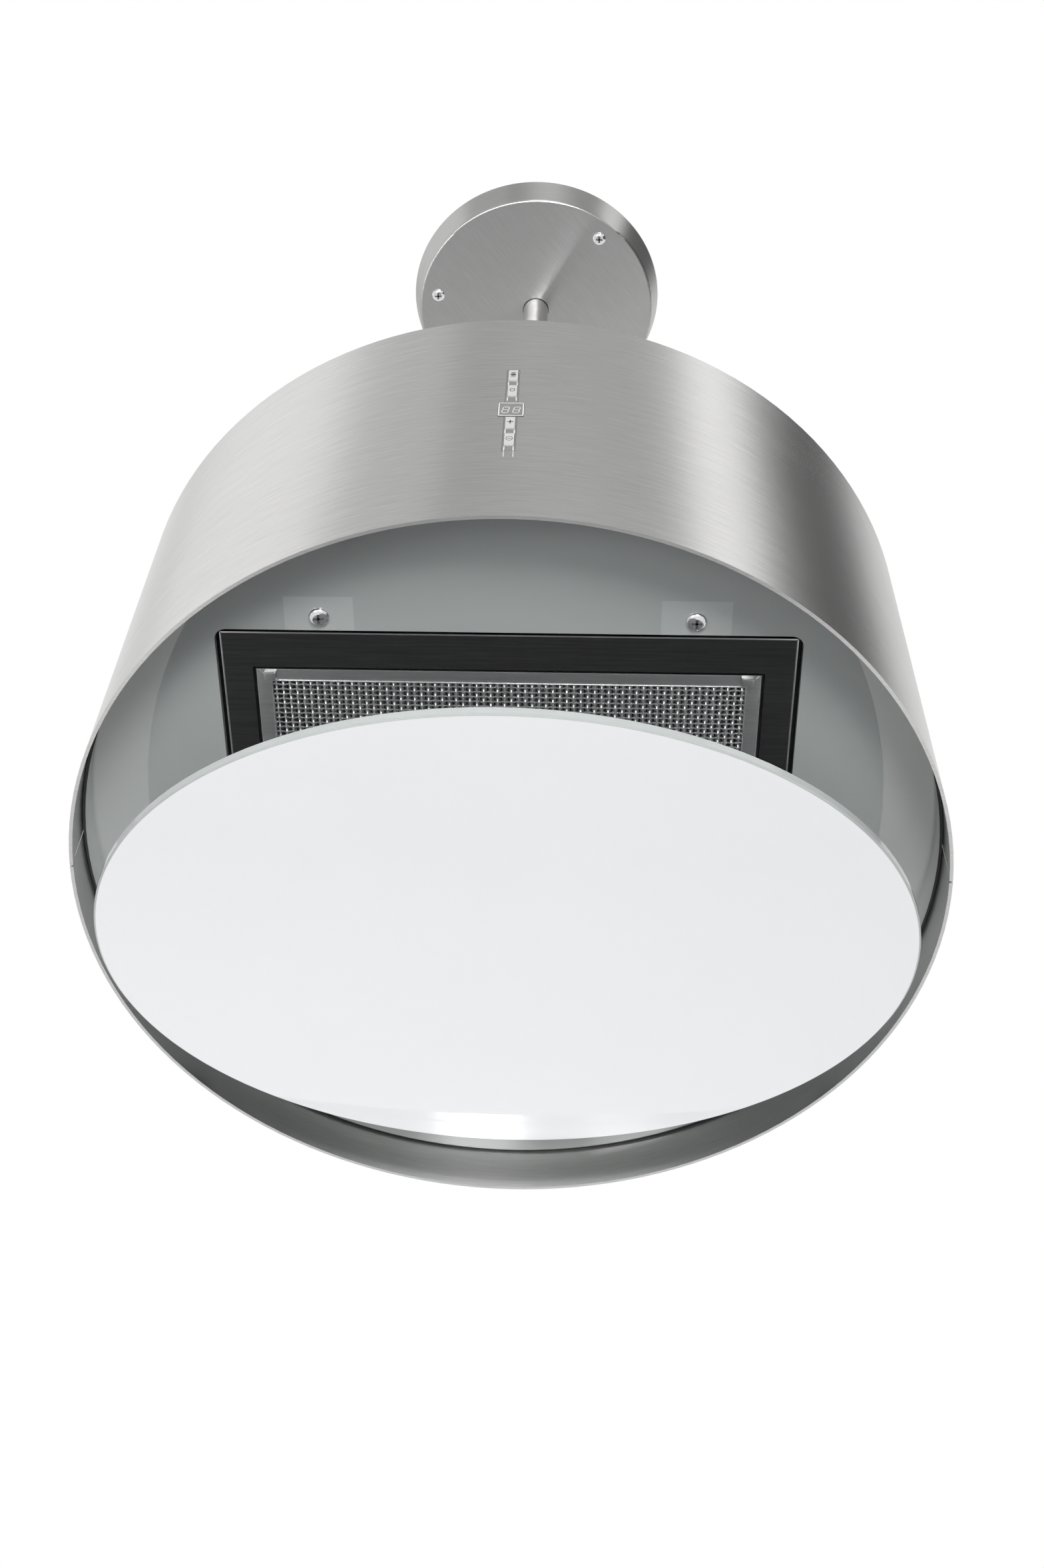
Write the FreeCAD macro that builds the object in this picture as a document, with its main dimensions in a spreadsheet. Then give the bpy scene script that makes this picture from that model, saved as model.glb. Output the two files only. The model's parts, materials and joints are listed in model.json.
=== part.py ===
"""Island range hood: a drum on a ceiling tube, with a tilting glass disc under its air opening.

Millimetres, +Z up. The origin is the centre of the ceiling bracket's top face, so the hood
hangs below z = 0. The front, with the controls, faces -Y.
"""
import FreeCAD, Part
import math
import os
import re

import Sketcher
from FreeCAD import Rotation, Vector

# ---------------------------------------------------------------- driving dimensions

SIZES = {
    # drum
    "overall_drop": 980,
    "drum_diameter": 600,
    "drum_height": 276,
    "shell_sheet": 1.2,
    "shell_lip": 14,
    "hem_height": 6,
    "seam_gap": 1.6,
    "seam_setback": 17,
    "frame_sheet": 2,
    "beam_size": 16,
    "beam_spacing": 320,
    "post_clearance": 12,
    "outlet_slot_count": 24,
    "outlet_slot_width": 9,
    "outlet_slot_length": 62,
    "outlet_slot_inset": 26,
    # ceiling bracket, canopy and tube
    "bracket_diameter": 236,
    "bracket_sheet": 4,
    "ceiling_bolt_circle": 150,
    "ceiling_hole": 8.5,
    "cable_hole": 16,
    "canopy_face_diameter": 254,
    "canopy_rim_diameter": 269,
    "canopy_height": 35,
    "canopy_sheet": 1.5,
    "canopy_hole_gap": 0.8,
    "canopy_edge_round": 3,
    "canopy_screw_circle": 216,
    "standoff_diameter": 10,
    "tube_diameter": 26.9,
    "tube_wall": 2,
    "socket_wall": 3,
    "socket_length": 26,
    "flange_diameter": 92,
    "flange_sheet": 5,
    "flange_bolt_circle": 66,
    # glass panel, filter tray and filter
    "panel_recess": 35,
    "panel_sheet": 6,
    "panel_edge_gap": 2.5,
    "opening_width": 382,
    "opening_corner": 8,
    "panel_screw_x": 121.5,
    "backing_width": 45,
    "backing_depth": 26,
    "tray_gap": 3,
    "tray_border": 20,
    "tray_front_border": 28,
    "tray_sheet": 1.2,
    "tray_lip": 12,
    "tray_screw": 3.2,
    "filter_height": 9,
    "filter_border": 10,
    "filter_gap": 2,
    "filter_pin": 4,
    "filter_pin_inset": 8,
    "mesh_height": 6,
    # blower
    "intake_height": 34,
    "inlet_radius": 78,
    "scroll_start_radius": 118,
    "scroll_step": 20,
    "scroll_height": 110,
    "scroll_wall": 1.5,
    "outlet_reach": 175,
    "charcoal_depth": 25,
    "impeller_radius": 98,
    "impeller_height": 80,
    "blade_depth": 15,
    "blade_count": 32,
    "shaft_radius": 5,
    "motor_radius": 48,
    "motor_height": 54,
    "motor_wall": 3,
    "motor_foot_radius": 68,
    "grommet_circle": 116,
    # controls
    "control_top": 195,
    "control_bottom": 80,
    "control_width": 8.6,
    "control_depth": 4,
    "button_width": 6.4,
    "button_height": 15.4,
    "upper_button_top": 193.7,
    "lower_button_top": 125.4,
    "button_pitch": 22.7,
    "button_travel": 0.8,
    "button_proud": 0.6,
    "display_width": 17,
    "display_height": 18.5,
    "display_middle": 136.7,
    # tilting disc
    "suction_gap": 27.8,
    "disc_sheet": 6,
    "disc_bevel": 1,
    "disc_level": 3,
    "disc_tilt": 16.35,
    "hinge_inset": 69.5,
    "hinge_level": 17,
    "hinge_pin": 5,
    "hinge_knuckle": 5,
    "catch_post": 19,
    "catch_magnet": 3.2,
    # clearances
    "running_gap": 0.05,
    "seat_gap": 0.3,
}

# heights and radii that follow from the sizes
DERIVED = {
    "drum_radius": "drum_diameter/2",
    "shell_inner": "drum_radius - shell_sheet",
    "rim": "-overall_drop",
    "drum_top": "rim + drum_height",
    "plate_top": "drum_top - shell_sheet",
    "plate_low": "plate_top - frame_sheet",
    "tube_radius": "tube_diameter/2",
    "socket_inner": "tube_radius + running_gap",
    "socket_outer": "socket_inner + socket_wall",
    "panel_low": "rim + panel_recess",
    "panel_top": "panel_low + panel_sheet",
    "backing_top": "panel_top + frame_sheet",
    "ring_low": "backing_top",
    "ring_top": "ring_low + frame_sheet",
    "opening_half": "opening_width/2",
    "disc_radius": "shell_inner - suction_gap",
    "panel_screw_y": "disc_radius - hinge_inset",
    "tray_half": "opening_half - tray_gap",
    "lip_half": "tray_half + tray_lip",
    "tray_low": "panel_low + frame_sheet",
    "lip_top": "ring_top + tray_sheet",
    "post_y": "max(lip_half; outlet_reach + charcoal_depth) + post_clearance + beam_size/2",
    "filter_half": "tray_half - tray_border - filter_gap",
    "filter_front": "tray_half - tray_front_border - filter_gap",
    "filter_rear": "filter_half",
    "filter_pivot_y": "filter_rear - filter_pin_inset",
    "filter_low": "tray_low + 1",
    "filter_top": "filter_low + filter_height",
    "intake_low": "lip_top",
    "scroll_low": "intake_low + intake_height",
    "scroll_middle": "scroll_low + scroll_height/2",
    "scroll_top": "scroll_low + scroll_height",
    "impeller_low": "scroll_low + 12",
    "impeller_top": "impeller_low + impeller_height",
    "grommet_height": "5",
    "foot_low": "scroll_top + grommet_height",
    "foot_top": "foot_low + motor_wall",
    "motor_top": "foot_top + motor_height",
    "scroll_outlet_low": "scroll_start_radius - scroll_step/2",
    "scroll_outlet_high": "scroll_start_radius + scroll_step*7/2",
    "box_high_x": "-lip_half - 6",
    "hinge_y": "panel_screw_y",
    "hinge_height": "rim + hinge_level",
    "disc_low": "disc_level - hinge_level",
    "disc_top": "disc_low + disc_sheet",
    "switch_face": "-drum_radius + seat_gap + control_depth + 1.5 + 1.1 + button_travel + 0.1",
}

doc = FreeCAD.newDocument("island_range_hood")
sizes = doc.addObject("Spreadsheet::Sheet", "sizes")
nodes = []


def fill_sheet():
    """One row for each driving dimension: its name and its number."""
    for row, (name, value) in enumerate(SIZES.items(), 1):
        sizes.set(f"A{row}", name)
        sizes.set(f"B{row}", str(value))
        sizes.setAlias(f"B{row}", name)
    doc.recompute()


def formula(text):
    """The expression for a text: derived names are written out, sizes point at the sheet."""
    def word(match):
        name = match.group()
        if name in DERIVED:
            return f"({formula(DERIVED[name])})"
        return f"sizes.{name}" if name in SIZES else name
    return re.sub(r"[a-z][a-z_]+", word, str(text))


def bind(thing, **properties):
    for name, text in properties.items():
        thing.setExpression(name, formula(text))


def place(thing, x=0, y=0, z=0):
    for axis, text in zip("xyz", (x, y, z)):
        thing.setExpression(f"Placement.Base.{axis}", formula(text))


def node(thing, label):
    """Names a finished sub-part and keeps it for the export."""
    thing.Label = label
    nodes.append(thing)
    return thing


# ---------------------------------------------------------------- primitives and booleans

AXES = {
    "z": Rotation(),
    "x": Rotation(Vector(0, 1, 0), 90),
    "y": Rotation(Vector(1, 0, 0), -90),
}


def cylinder(radius, height, x=0, y=0, z=0, axis="z"):
    thing = doc.addObject("Part::Cylinder", "cylinder")
    bind(thing, Radius=radius, Height=height)
    thing.Placement.Rotation = AXES[axis]
    place(thing, x, y, z)
    return thing


def cone(low_radius, high_radius, height, x=0, y=0, z=0):
    thing = doc.addObject("Part::Cone", "cone")
    bind(thing, Radius1=low_radius, Radius2=high_radius, Height=height)
    place(thing, x, y, z)
    return thing


def box(low_x, high_x, low_y, high_y, low_z, high_z):
    thing = doc.addObject("Part::Box", "box")
    bind(thing, Length=f"({high_x}) - ({low_x})", Width=f"({high_y}) - ({low_y})")
    bind(thing, Height=f"({high_z}) - ({low_z})")
    place(thing, low_x, low_y, low_z)
    return thing


def centred_box(width, depth, low_z, high_z, x=0, y=0):
    return box(f"{x} - ({width})/2", f"{x} + ({width})/2", f"{y} - ({depth})/2", f"{y} + ({depth})/2",
               low_z, high_z)


def fuse(*shapes):
    if len(shapes) == 1:
        return shapes[0]
    thing = doc.addObject("Part::MultiFuse", "fusion")
    thing.Shapes = list(shapes)
    return thing


def cut(base, *tools):
    thing = doc.addObject("Part::Cut", "cut")
    thing.Base = base
    thing.Tool = fuse(*tools)
    return thing


def group(*shapes):
    """Separate solids kept in one sub-part, such as identical fasteners."""
    thing = doc.addObject("Part::Compound", "group")
    thing.Links = list(shapes)
    return thing


def ring(outer, inner, height, x=0, y=0, z=0, axis="z"):
    return cut(cylinder(outer, height, x, y, z, axis), cylinder(inner, height, x, y, z, axis))


def around(circle, angles):
    """Centres on a circle of a given diameter, as pairs of texts."""
    return [(f"({circle})/2*cos({angle})", f"({circle})/2*sin({angle})") for angle in angles]


def corners(x, y):
    """The four corners (+-x, +-y), as pairs of texts."""
    return [(f"{side}*({x})", f"{end}*({y})") for side in (-1, 1) for end in (-1, 1)]


# ---------------------------------------------------------------- bodies with sketches

def body(label, z=0):
    thing = doc.addObject("PartDesign::Body", label)
    place(thing, 0, 0, z)
    return node(thing, label)


def origin_feature(owner, role):
    return next(item for item in owner.Origin.OriginFeatures if item.Role == role)


def sketch(owner, plane="XY_Plane"):
    thing = owner.newObject("Sketcher::SketchObject", "outline")
    thing.AttachmentSupport = (origin_feature(owner, plane), "")
    thing.MapMode = "FlatFace"
    return thing


def locate(outline, geometry, point, x, y):
    """Ties one point of a sketch to its distance from the sketch's origin."""
    for kind, text in (("DistanceX", x), ("DistanceY", y)):
        index = outline.addConstraint(Sketcher.Constraint(kind, -1, 1, geometry, point, 1.0))
        outline.setExpression(f"Constraints[{index}]", formula(text))


def polygon(outline, points):
    first = outline.GeometryCount
    count = len(points)
    turns = [2*math.pi*step/count for step in range(count + 1)]
    rough = [Vector(math.cos(turn), math.sin(turn), 0) for turn in turns]
    for step in range(count):
        outline.addGeometry(Part.LineSegment(rough[step], rough[step + 1]), False)
    for step in range(count):
        after = first + (step + 1) % count
        outline.addConstraint(Sketcher.Constraint("Coincident", first + step, 2, after, 1))
    for step, (x, y) in enumerate(points):
        locate(outline, first + step, 1, x, y)


def rectangle(outline, low_x, high_x, low_y, high_y):
    polygon(outline, [(low_x, low_y), (high_x, low_y), (high_x, high_y), (low_x, high_y)])


def circle(outline, radius, x=0, y=0):
    geometry = outline.addGeometry(Part.Circle(Vector(0, 0, 0), Vector(0, 0, 1), 1), False)
    index = outline.addConstraint(Sketcher.Constraint("Radius", geometry, 1.0))
    outline.setExpression(f"Constraints[{index}]", formula(radius))
    locate(outline, geometry, 3, x, y)


def pad(owner, outline, length):
    thing = owner.newObject("PartDesign::Pad", "pad")
    thing.Profile = outline
    bind(thing, Length=length)
    return thing


def pocket(owner, outline):
    """A cut through all of the body, upwards from its lowest plane."""
    doc.recompute()
    before = owner.Shape.Volume
    thing = owner.newObject("PartDesign::Pocket", "pocket")
    thing.Profile = outline
    thing.Type = "ThroughAll"
    thing.Reversed = True
    doc.recompute()
    if owner.Shape.Volume >= before:
        raise RuntimeError(f"{owner.Label}: a pocket cuts nothing")
    return thing


def revolve(owner, points):
    """Turns a profile of (radius, height) points about the body's Z axis."""
    outline = sketch(owner, "XZ_Plane")
    polygon(outline, points)
    thing = owner.newObject("PartDesign::Revolution", "revolution")
    thing.Profile = outline
    thing.ReferenceAxis = (outline, ["V_Axis"])
    thing.Angle = 360
    doc.recompute()
    return thing


def repeat_around(owner, feature, count):
    thing = owner.newObject("PartDesign::PolarPattern", "pattern")
    thing.Originals = [feature]
    thing.Axis = (origin_feature(owner, "Z_Axis"), [""])
    thing.Angle = 360
    bind(thing, Occurrences=count)
    owner.Tip = thing
    doc.recompute()
    return thing


def upright_edges(shape, half_width):
    """Names of the straight vertical edges at the corners of a square of that half width."""
    found = []
    for index, edge in enumerate(shape.Edges, 1):
        ends = [vertex.Point for vertex in edge.Vertexes]
        if len(ends) != 2 or abs(ends[0].x - ends[1].x) > 1e-6 or abs(ends[0].y - ends[1].y) > 1e-6:
            continue
        if abs(abs(ends[0].x) - half_width) < 1e-6 and abs(abs(ends[0].y) - half_width) < 1e-6:
            found.append(f"Edge{index}")
    return found


# ---------------------------------------------------------------- fasteners

def pan_screw(shank, length, head, x, y, seat, up=1):
    """A pan-head screw with a cross recess; its head lies on seat and its shank goes the other way."""
    thickness = f"{head}*0.3"
    low = seat if up > 0 else f"{seat} - {thickness}"
    outer, inner = (f"{head}/2", f"{head}*0.36")
    cap = cone(outer, inner, thickness, x, y, low) if up > 0 else cone(inner, outer, thickness, x, y, low)
    stem = cylinder(f"{shank}/2", length, x, y, f"{seat} - ({length})" if up > 0 else seat)
    recess_low = f"{seat} + {thickness}*0.5" if up > 0 else f"{seat} - {thickness}"
    recess_high = f"{seat} + {thickness}" if up > 0 else f"{seat} - {thickness}*0.5"
    slots = [centred_box(f"{head}*0.5", f"{head}*0.1", recess_low, recess_high, x, y),
             centred_box(f"{head}*0.1", f"{head}*0.5", recess_low, recess_high, x, y)]
    return cut(fuse(cap, stem), *slots)


def dome_screw(shank, length, head, x, y, seat):
    """A domed cross-head screw that points up, with its dome under seat."""
    rise = 3.5
    dome = doc.addObject("Part::Ellipsoid", "dome")
    bind(dome, Radius1=rise, Radius2=f"{head}/2")
    place(dome, x, y, seat)
    half = cut(dome, cylinder(head, head, x, y, seat))
    low, high = (f"{seat} - {rise} - 0.5", f"{seat} - {rise}*0.5")
    slots = [centred_box(f"{head}*0.5", f"{head}*0.12", low, high, x, y),
             centred_box(f"{head}*0.12", f"{head}*0.5", low, high, x, y)]
    return cut(fuse(half, cylinder(f"{shank}/2", length, x, y, seat)), *slots)


# ---------------------------------------------------------------- ceiling group

CANOPY_SCREW_ANGLES = (-51, 69, 189)
CEILING_BOLT_ANGLES = (45, 135, 225, 315)


def ceiling_bracket():
    plate = cylinder("bracket_diameter/2", "bracket_sheet", z="-bracket_sheet")
    socket = cylinder("socket_outer", "socket_length", z="-bracket_sheet - socket_length")
    bore = cylinder("socket_inner", "socket_length", z="-bracket_sheet - socket_length")
    cable = cylinder("cable_hole/2", "bracket_sheet", z="-bracket_sheet")
    holes = [cylinder("ceiling_hole/2", "bracket_sheet", x, y, "-bracket_sheet")
             for x, y in around("ceiling_bolt_circle", CEILING_BOLT_ANGLES)]
    screws = [cylinder(2.5, "socket_wall + 2", x, 0, "-bracket_sheet - socket_length/2", "x")
              for x in ("socket_inner - 1", "-socket_outer - 1")]
    node(cut(fuse(plate, socket), bore, cable, *holes, *screws), "ceiling_bracket")


def canopy_standoffs():
    length = "canopy_height - canopy_sheet - bracket_sheet"
    posts = [cut(cylinder("standoff_diameter/2", length, x, y, "-canopy_height + canopy_sheet"),
                 cylinder("2.5 + running_gap", "12", x, y, "-canopy_height + canopy_sheet"))
             for x, y in around("canopy_screw_circle", CANOPY_SCREW_ANGLES)]
    node(group(*posts), "canopy_standoffs")


def canopy_cover():
    owner = body("canopy_cover", "-canopy_height")
    face = "canopy_face_diameter/2"
    edge = "canopy_rim_diameter/2"
    hole = "tube_radius + canopy_hole_gap"
    turned = revolve(owner, [(hole, 0), (face, 0), (edge, "canopy_height"),
                             (f"{edge} - canopy_sheet", "canopy_height"),
                             (f"{face} - canopy_sheet", "canopy_sheet"), (hole, "canopy_sheet")])
    rims = [(edge.Curve.Center.z, -edge.Curve.Radius, index) for index, edge in enumerate(turned.Shape.Edges, 1)
            if isinstance(edge.Curve, Part.Circle)]
    roll = owner.newObject("PartDesign::Fillet", "edge_roll")
    roll.Base = (turned, [f"Edge{min((round(z, 4), radius, index) for z, radius, index in rims)[2]}"])
    bind(roll, Radius="canopy_edge_round")
    doc.recompute()
    holes = sketch(owner)
    for x, y in around("canopy_screw_circle", CANOPY_SCREW_ANGLES):
        circle(holes, 2.8, x, y)
    pocket(owner, holes)


def canopy_screws():
    screws = [dome_screw(5, 10, 14.4, x, y, "-canopy_height")
              for x, y in around("canopy_screw_circle", CANOPY_SCREW_ANGLES)]
    node(group(*screws), "canopy_screws")


def suspension_tube():
    length = "overall_drop - drum_height + shell_sheet - bracket_sheet"
    node(ring("tube_radius", "tube_radius - tube_wall", length, z="plate_top"), "suspension_tube")


def tube_set_screws():
    levels = ("-bracket_sheet - socket_length/2", "plate_top + flange_sheet + socket_length/2")
    screws = []
    for level in levels:
        screws.append(cylinder(2.45, 7, "tube_radius", 0, level, "x"))
        screws.append(cylinder(2.45, 7, "-tube_radius - 7", 0, level, "x"))
    node(group(*screws), "tube_set_screws")


# ---------------------------------------------------------------- drum frame

def tube_flange():
    plate = cylinder("flange_diameter/2", "flange_sheet", z="plate_top")
    socket = cylinder("socket_outer", "socket_length", z="plate_top + flange_sheet")
    bore = cylinder("socket_inner", "socket_length + flange_sheet", z="plate_top")
    holes = [cylinder(3.3, "flange_sheet", x, y, "plate_top")
             for x, y in around("flange_bolt_circle", CEILING_BOLT_ANGLES)]
    level = "plate_top + flange_sheet + socket_length/2"
    screws = [cylinder(2.5, "socket_wall + 2", x, 0, level, "x")
              for x in ("socket_inner - 1", "-socket_outer - 1")]
    node(cut(fuse(plate, socket), bore, *holes, *screws), "tube_flange")


def flange_bolts():
    """Four bolts through the flange and the top plate, each with its nut below."""
    parts = []
    for x, y in around("flange_bolt_circle", CEILING_BOLT_ANGLES):
        head = cylinder(5, 4, x, y, "plate_top + flange_sheet")
        shank = cylinder(3, "flange_sheet + frame_sheet + 7", x, y, "plate_low - 7")
        parts.append(fuse(head, shank))
        parts.append(ring(5.5, "3 + running_gap", 5, x, y, "plate_low - 5"))
    node(group(*parts), "flange_bolts")


def cable_gland():
    """The strain relief where the mains cable leaves the tube for the drum."""
    neck = cylinder("cable_hole/2 - running_gap", "frame_sheet + 3", z="plate_low")
    nut = cylinder("cable_hole/2 + 4", 8, z="plate_low - 8")
    node(cut(fuse(neck, nut), cylinder(4, 20, z="plate_low - 10")), "cable_gland")


def top_plate():
    owner = body("top_plate", "plate_low")
    disc = sketch(owner)
    circle(disc, "shell_inner - seat_gap")
    pad(owner, disc, "frame_sheet")
    holes = sketch(owner)
    circle(holes, "cable_hole/2")
    for x, y in around("flange_bolt_circle", CEILING_BOLT_ANGLES):
        circle(holes, 3.3, x, y)
    for x, y in around("drum_diameter - shell_lip", SHELL_SCREW_ANGLES):
        circle(holes, 2.2, x, y)
    pocket(owner, holes)
    slot = sketch(owner)
    reach = "drum_radius - outlet_slot_inset"
    rectangle(slot, f"{reach} - outlet_slot_length", reach,
              "-outlet_slot_width/2", "outlet_slot_width/2")
    repeat_around(owner, pocket(owner, slot), "outlet_slot_count")


def top_beams():
    bars = [centred_box("beam_size", "2*(post_y) + beam_size", "plate_low - beam_size", "plate_low",
                        f"{side}*beam_spacing/2") for side in (-1, 1)]
    node(group(*bars), "top_beams")


def support_posts():
    posts = []
    for x, y in corners("beam_spacing/2", "post_y"):
        outer = centred_box("beam_size", "beam_size", "ring_top", "plate_low - beam_size", x, y)
        inner = centred_box("beam_size - 3", "beam_size - 3", "ring_top", "plate_low - beam_size", x, y)
        posts.append(cut(outer, inner))
    node(group(*posts), "support_posts")


def support_ring():
    """The flat ring that carries the glass, the filter tray and the blower."""
    owner = body("support_ring", "ring_low")
    disc = sketch(owner)
    circle(disc, "shell_inner - seat_gap")
    pad(owner, disc, "frame_sheet")
    holes = sketch(owner)
    rectangle(holes, "-opening_half - 1", "opening_half + 1", "-opening_half - 1", "opening_half + 1")
    for x, y in corners("panel_screw_x", "panel_screw_y"):
        circle(holes, 2.6, x, y)
    for x, y in tray_screw_places():
        circle(holes, "tray_screw/2 + running_gap", x, y)
    pocket(owner, holes)


# ---------------------------------------------------------------- shells

SHELL_SCREW_ANGLES = tuple(range(-60, 300, 45))


def half_shell(label, sign):
    """One half of the drum's skin, with a lip over the top plate and a hem at the rim."""
    wall = ring("drum_radius", "shell_inner", "drum_height", z="rim")
    lip = ring("drum_radius", "drum_radius - shell_lip", "shell_sheet", z="drum_top - shell_sheet")
    hem = ring("drum_radius", "shell_inner - shell_sheet", "hem_height", z="rim")
    low_y, high_y = ("-drum_radius - 1", "-seam_gap/2 - seam_setback")
    if sign > 0:
        low_y, high_y = ("seam_gap/2 - seam_setback", "drum_radius + 1")
    keep = box("-drum_radius - 1", "drum_radius + 1", low_y, high_y, "rim - 1", "drum_top + 1")
    skin = doc.addObject("Part::MultiCommon", "half")
    skin.Shapes = [fuse(wall, lip, hem), keep]
    angles = [angle for angle in SHELL_SCREW_ANGLES if sign*math.sin(math.radians(angle)) > 0]
    holes = [cylinder(2.2, "shell_sheet + 2", x, y, "drum_top - shell_sheet - 1")
             for x, y in around("drum_diameter - shell_lip", angles)]
    return skin, holes


def shells():
    front, front_holes = half_shell("front_shell", -1)
    slot = centred_box("control_width + seat_gap", 20, "rim + control_bottom - seat_gap",
                       "rim + control_top + seat_gap", 0, "-drum_radius")
    window = centred_box("display_width + seat_gap", 20,
                         "rim + display_middle - display_height/2 - seat_gap/2",
                         "rim + display_middle + display_height/2 + seat_gap/2", 0, "-drum_radius")
    node(cut(front, slot, window, *front_holes), "front_shell")
    rear, rear_holes = half_shell("rear_shell", 1)
    node(cut(rear, *rear_holes), "rear_shell")


def seam_straps():
    """Strips behind the two seams, above the glass, that hold the half shells in line."""
    straps = []
    for side in (-1, 1):
        face = "shell_inner - running_gap"
        band = ring(face, f"{face} - shell_sheet", "plate_low - ring_top", z="ring_top")
        reach = f"{side}*drum_radius"
        low, high = (f"{reach} - 20", f"{reach} + 20")
        keep = box(low, high, "-seam_setback - 15", "-seam_setback + 15", "ring_top - 1", "plate_low + 1")
        strap = doc.addObject("Part::MultiCommon", "strap")
        strap.Shapes = [band, keep]
        straps.append(strap)
    node(group(*straps), "seam_straps")


def shell_screws():
    screws = [pan_screw(4, 6, 8, x, y, "drum_top") for x, y in around("drum_diameter - shell_lip",
                                                                       SHELL_SCREW_ANGLES)]
    node(group(*screws), "shell_screws")


# ---------------------------------------------------------------- glass panel

def glass_panel():
    owner = body("glass_panel", "panel_low")
    disc = sketch(owner)
    circle(disc, "shell_inner - panel_edge_gap")
    pad(owner, disc, "panel_sheet")
    holes = sketch(owner)
    rectangle(holes, "-opening_half", "opening_half", "-opening_half", "opening_half")
    for x, y in corners("panel_screw_x", "panel_screw_y"):
        circle(holes, 3.5, x, y)
    cutout = pocket(owner, holes)
    rounding = owner.newObject("PartDesign::Fillet", "corners")
    rounding.Base = (cutout, upright_edges(cutout.Shape, float(sizes.opening_width)/2))
    bind(rounding, Radius="opening_corner")
    doc.recompute()


def edge_gasket():
    """The dark rubber band between the glass and the shells."""
    node(ring("shell_inner - seat_gap", "shell_inner - panel_edge_gap", "panel_sheet - 1",
              z="panel_low + 1"), "edge_gasket")


def backing_plates():
    """Threaded plates behind the glass, one at each panel screw."""
    plates = [cut(centred_box("backing_width", "backing_depth", "panel_top", "backing_top", x, y),
                  cylinder("2.5 + running_gap", "frame_sheet", x, y, "panel_top"))
              for x, y in corners("panel_screw_x", "panel_screw_y")]
    node(group(*plates), "backing_plates")


def panel_screws():
    """Two show under the front of the panel, and two carry the hinge brackets at the rear."""
    screws = []
    for x, y in corners("panel_screw_x", "panel_screw_y"):
        seat, head = ("panel_low", 14) if y.startswith("-1") else ("panel_low - frame_sheet", 12.6)
        screws.append(dome_screw(5, f"ring_top + 5 - ({seat})", head, x, y, seat))
        screws.append(ring(4.5, "2.5 + running_gap", 4, x, y, "ring_top"))
    node(group(*screws), "panel_screws")


def led_strips():
    """Lamp boards above the satin glass, under the support ring."""
    low, high = ("ring_low - 1.2", "ring_low")
    near, far = ("lip_half + 30", "lip_half + 42")
    strips = [box(near, far, -120, 120, low, high), box(f"-({far})", f"-({near})", -120, 120, low, high),
              box(-90, 90, near, far, low, high), box(-90, 90, f"-({far})", f"-({near})", low, high)]
    node(group(*strips), "led_strips")


# ---------------------------------------------------------------- filter

def filter_tray():
    """The dark steel tray in the panel's opening, with folded edges round the filter."""
    inner = "filter_half + filter_gap"
    front = "-filter_front - filter_gap"
    rear = "filter_rear + filter_gap"
    face = box("-tray_half", "tray_half", "-tray_half", "tray_half", "tray_low", "lip_top")
    hollow = box("-tray_half + tray_sheet", "tray_half - tray_sheet", "-tray_half + tray_sheet",
                 "tray_half - tray_sheet", "tray_low + tray_sheet", "lip_top")
    lip = centred_box("2*lip_half", "2*lip_half", "ring_top", "lip_top")
    well_width = "2*(tray_half - tray_sheet)"
    well = centred_box(well_width, well_width, "ring_top", "lip_top")
    fold = box(f"-({inner}) - tray_sheet", f"{inner} + tray_sheet", f"{front} - tray_sheet",
               f"{rear} + tray_sheet", "tray_low", "filter_top")
    mouth = box(f"-({inner})", inner, front, rear, "tray_low - 1", "filter_top + 1")
    pin = cylinder("filter_pin/2 + running_gap", "2*filter_half + 20", "-filter_half - 10",
                   "filter_pivot_y", "filter_low + filter_height/2", "x")
    holes = tray_holes("ring_top")
    shape = fuse(cut(fuse(face, lip), hollow, well), fold)
    node(cut(shape, mouth, pin, *holes), "filter_tray")


def tray_screw_places():
    edge = "(lip_half - tray_lip/3)"
    along = [(f"{side}*{edge}", str(y)) for side in (-1, 1) for y in (-110, 110)]
    across = [(x, f"{side}*{edge}") for side in (-1, 1) for x in ("-70", "70")]
    return along + across


def tray_holes(z):
    """Screw holes in a lip that lies on the support ring, and its notches for the panel screws."""
    screws = [cylinder("tray_screw/2 + running_gap", "tray_sheet", x, y, z) for x, y in tray_screw_places()]
    notches = [cylinder(6, "tray_sheet", x, y, z) for x, y in corners("panel_screw_x", "panel_screw_y")]
    return screws + notches


def tray_screws():
    screws = [pan_screw("tray_screw", "frame_sheet + 2*tray_sheet + 1", 6.5, x, y, "lip_top + tray_sheet")
              for x, y in tray_screw_places()]
    node(group(*screws), "tray_screws")


def filter_frame():
    """The cassette's frame, with its two pivot pins at the rear and two finger tabs at the front."""
    outer = box("-filter_half", "filter_half", "-filter_front", "filter_rear", "filter_low", "filter_top")
    inner = box("-filter_half + filter_border", "filter_half - filter_border",
                "-filter_front + filter_border", "filter_rear - filter_border", "filter_low", "filter_top")
    groove = mesh_block(0)
    reach = "filter_gap + tray_sheet + 0.5"
    level = "filter_low + filter_height/2"
    pins = [cylinder("filter_pin/2", f"{reach} + 1", x, "filter_pivot_y", level, "x")
            for x in ("filter_half - 1", f"-filter_half - ({reach})")]
    tabs = [box(f"{side}*(filter_half - 9) - 4", f"{side}*(filter_half - 9) + 4", "-filter_front + 2",
                "-filter_front + 8", "filter_low - 2.5", "filter_low + 1") for side in (-1, 1)]
    node(fuse(cut(outer, inner, groove), *pins, *tabs), "filter_frame")


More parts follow.
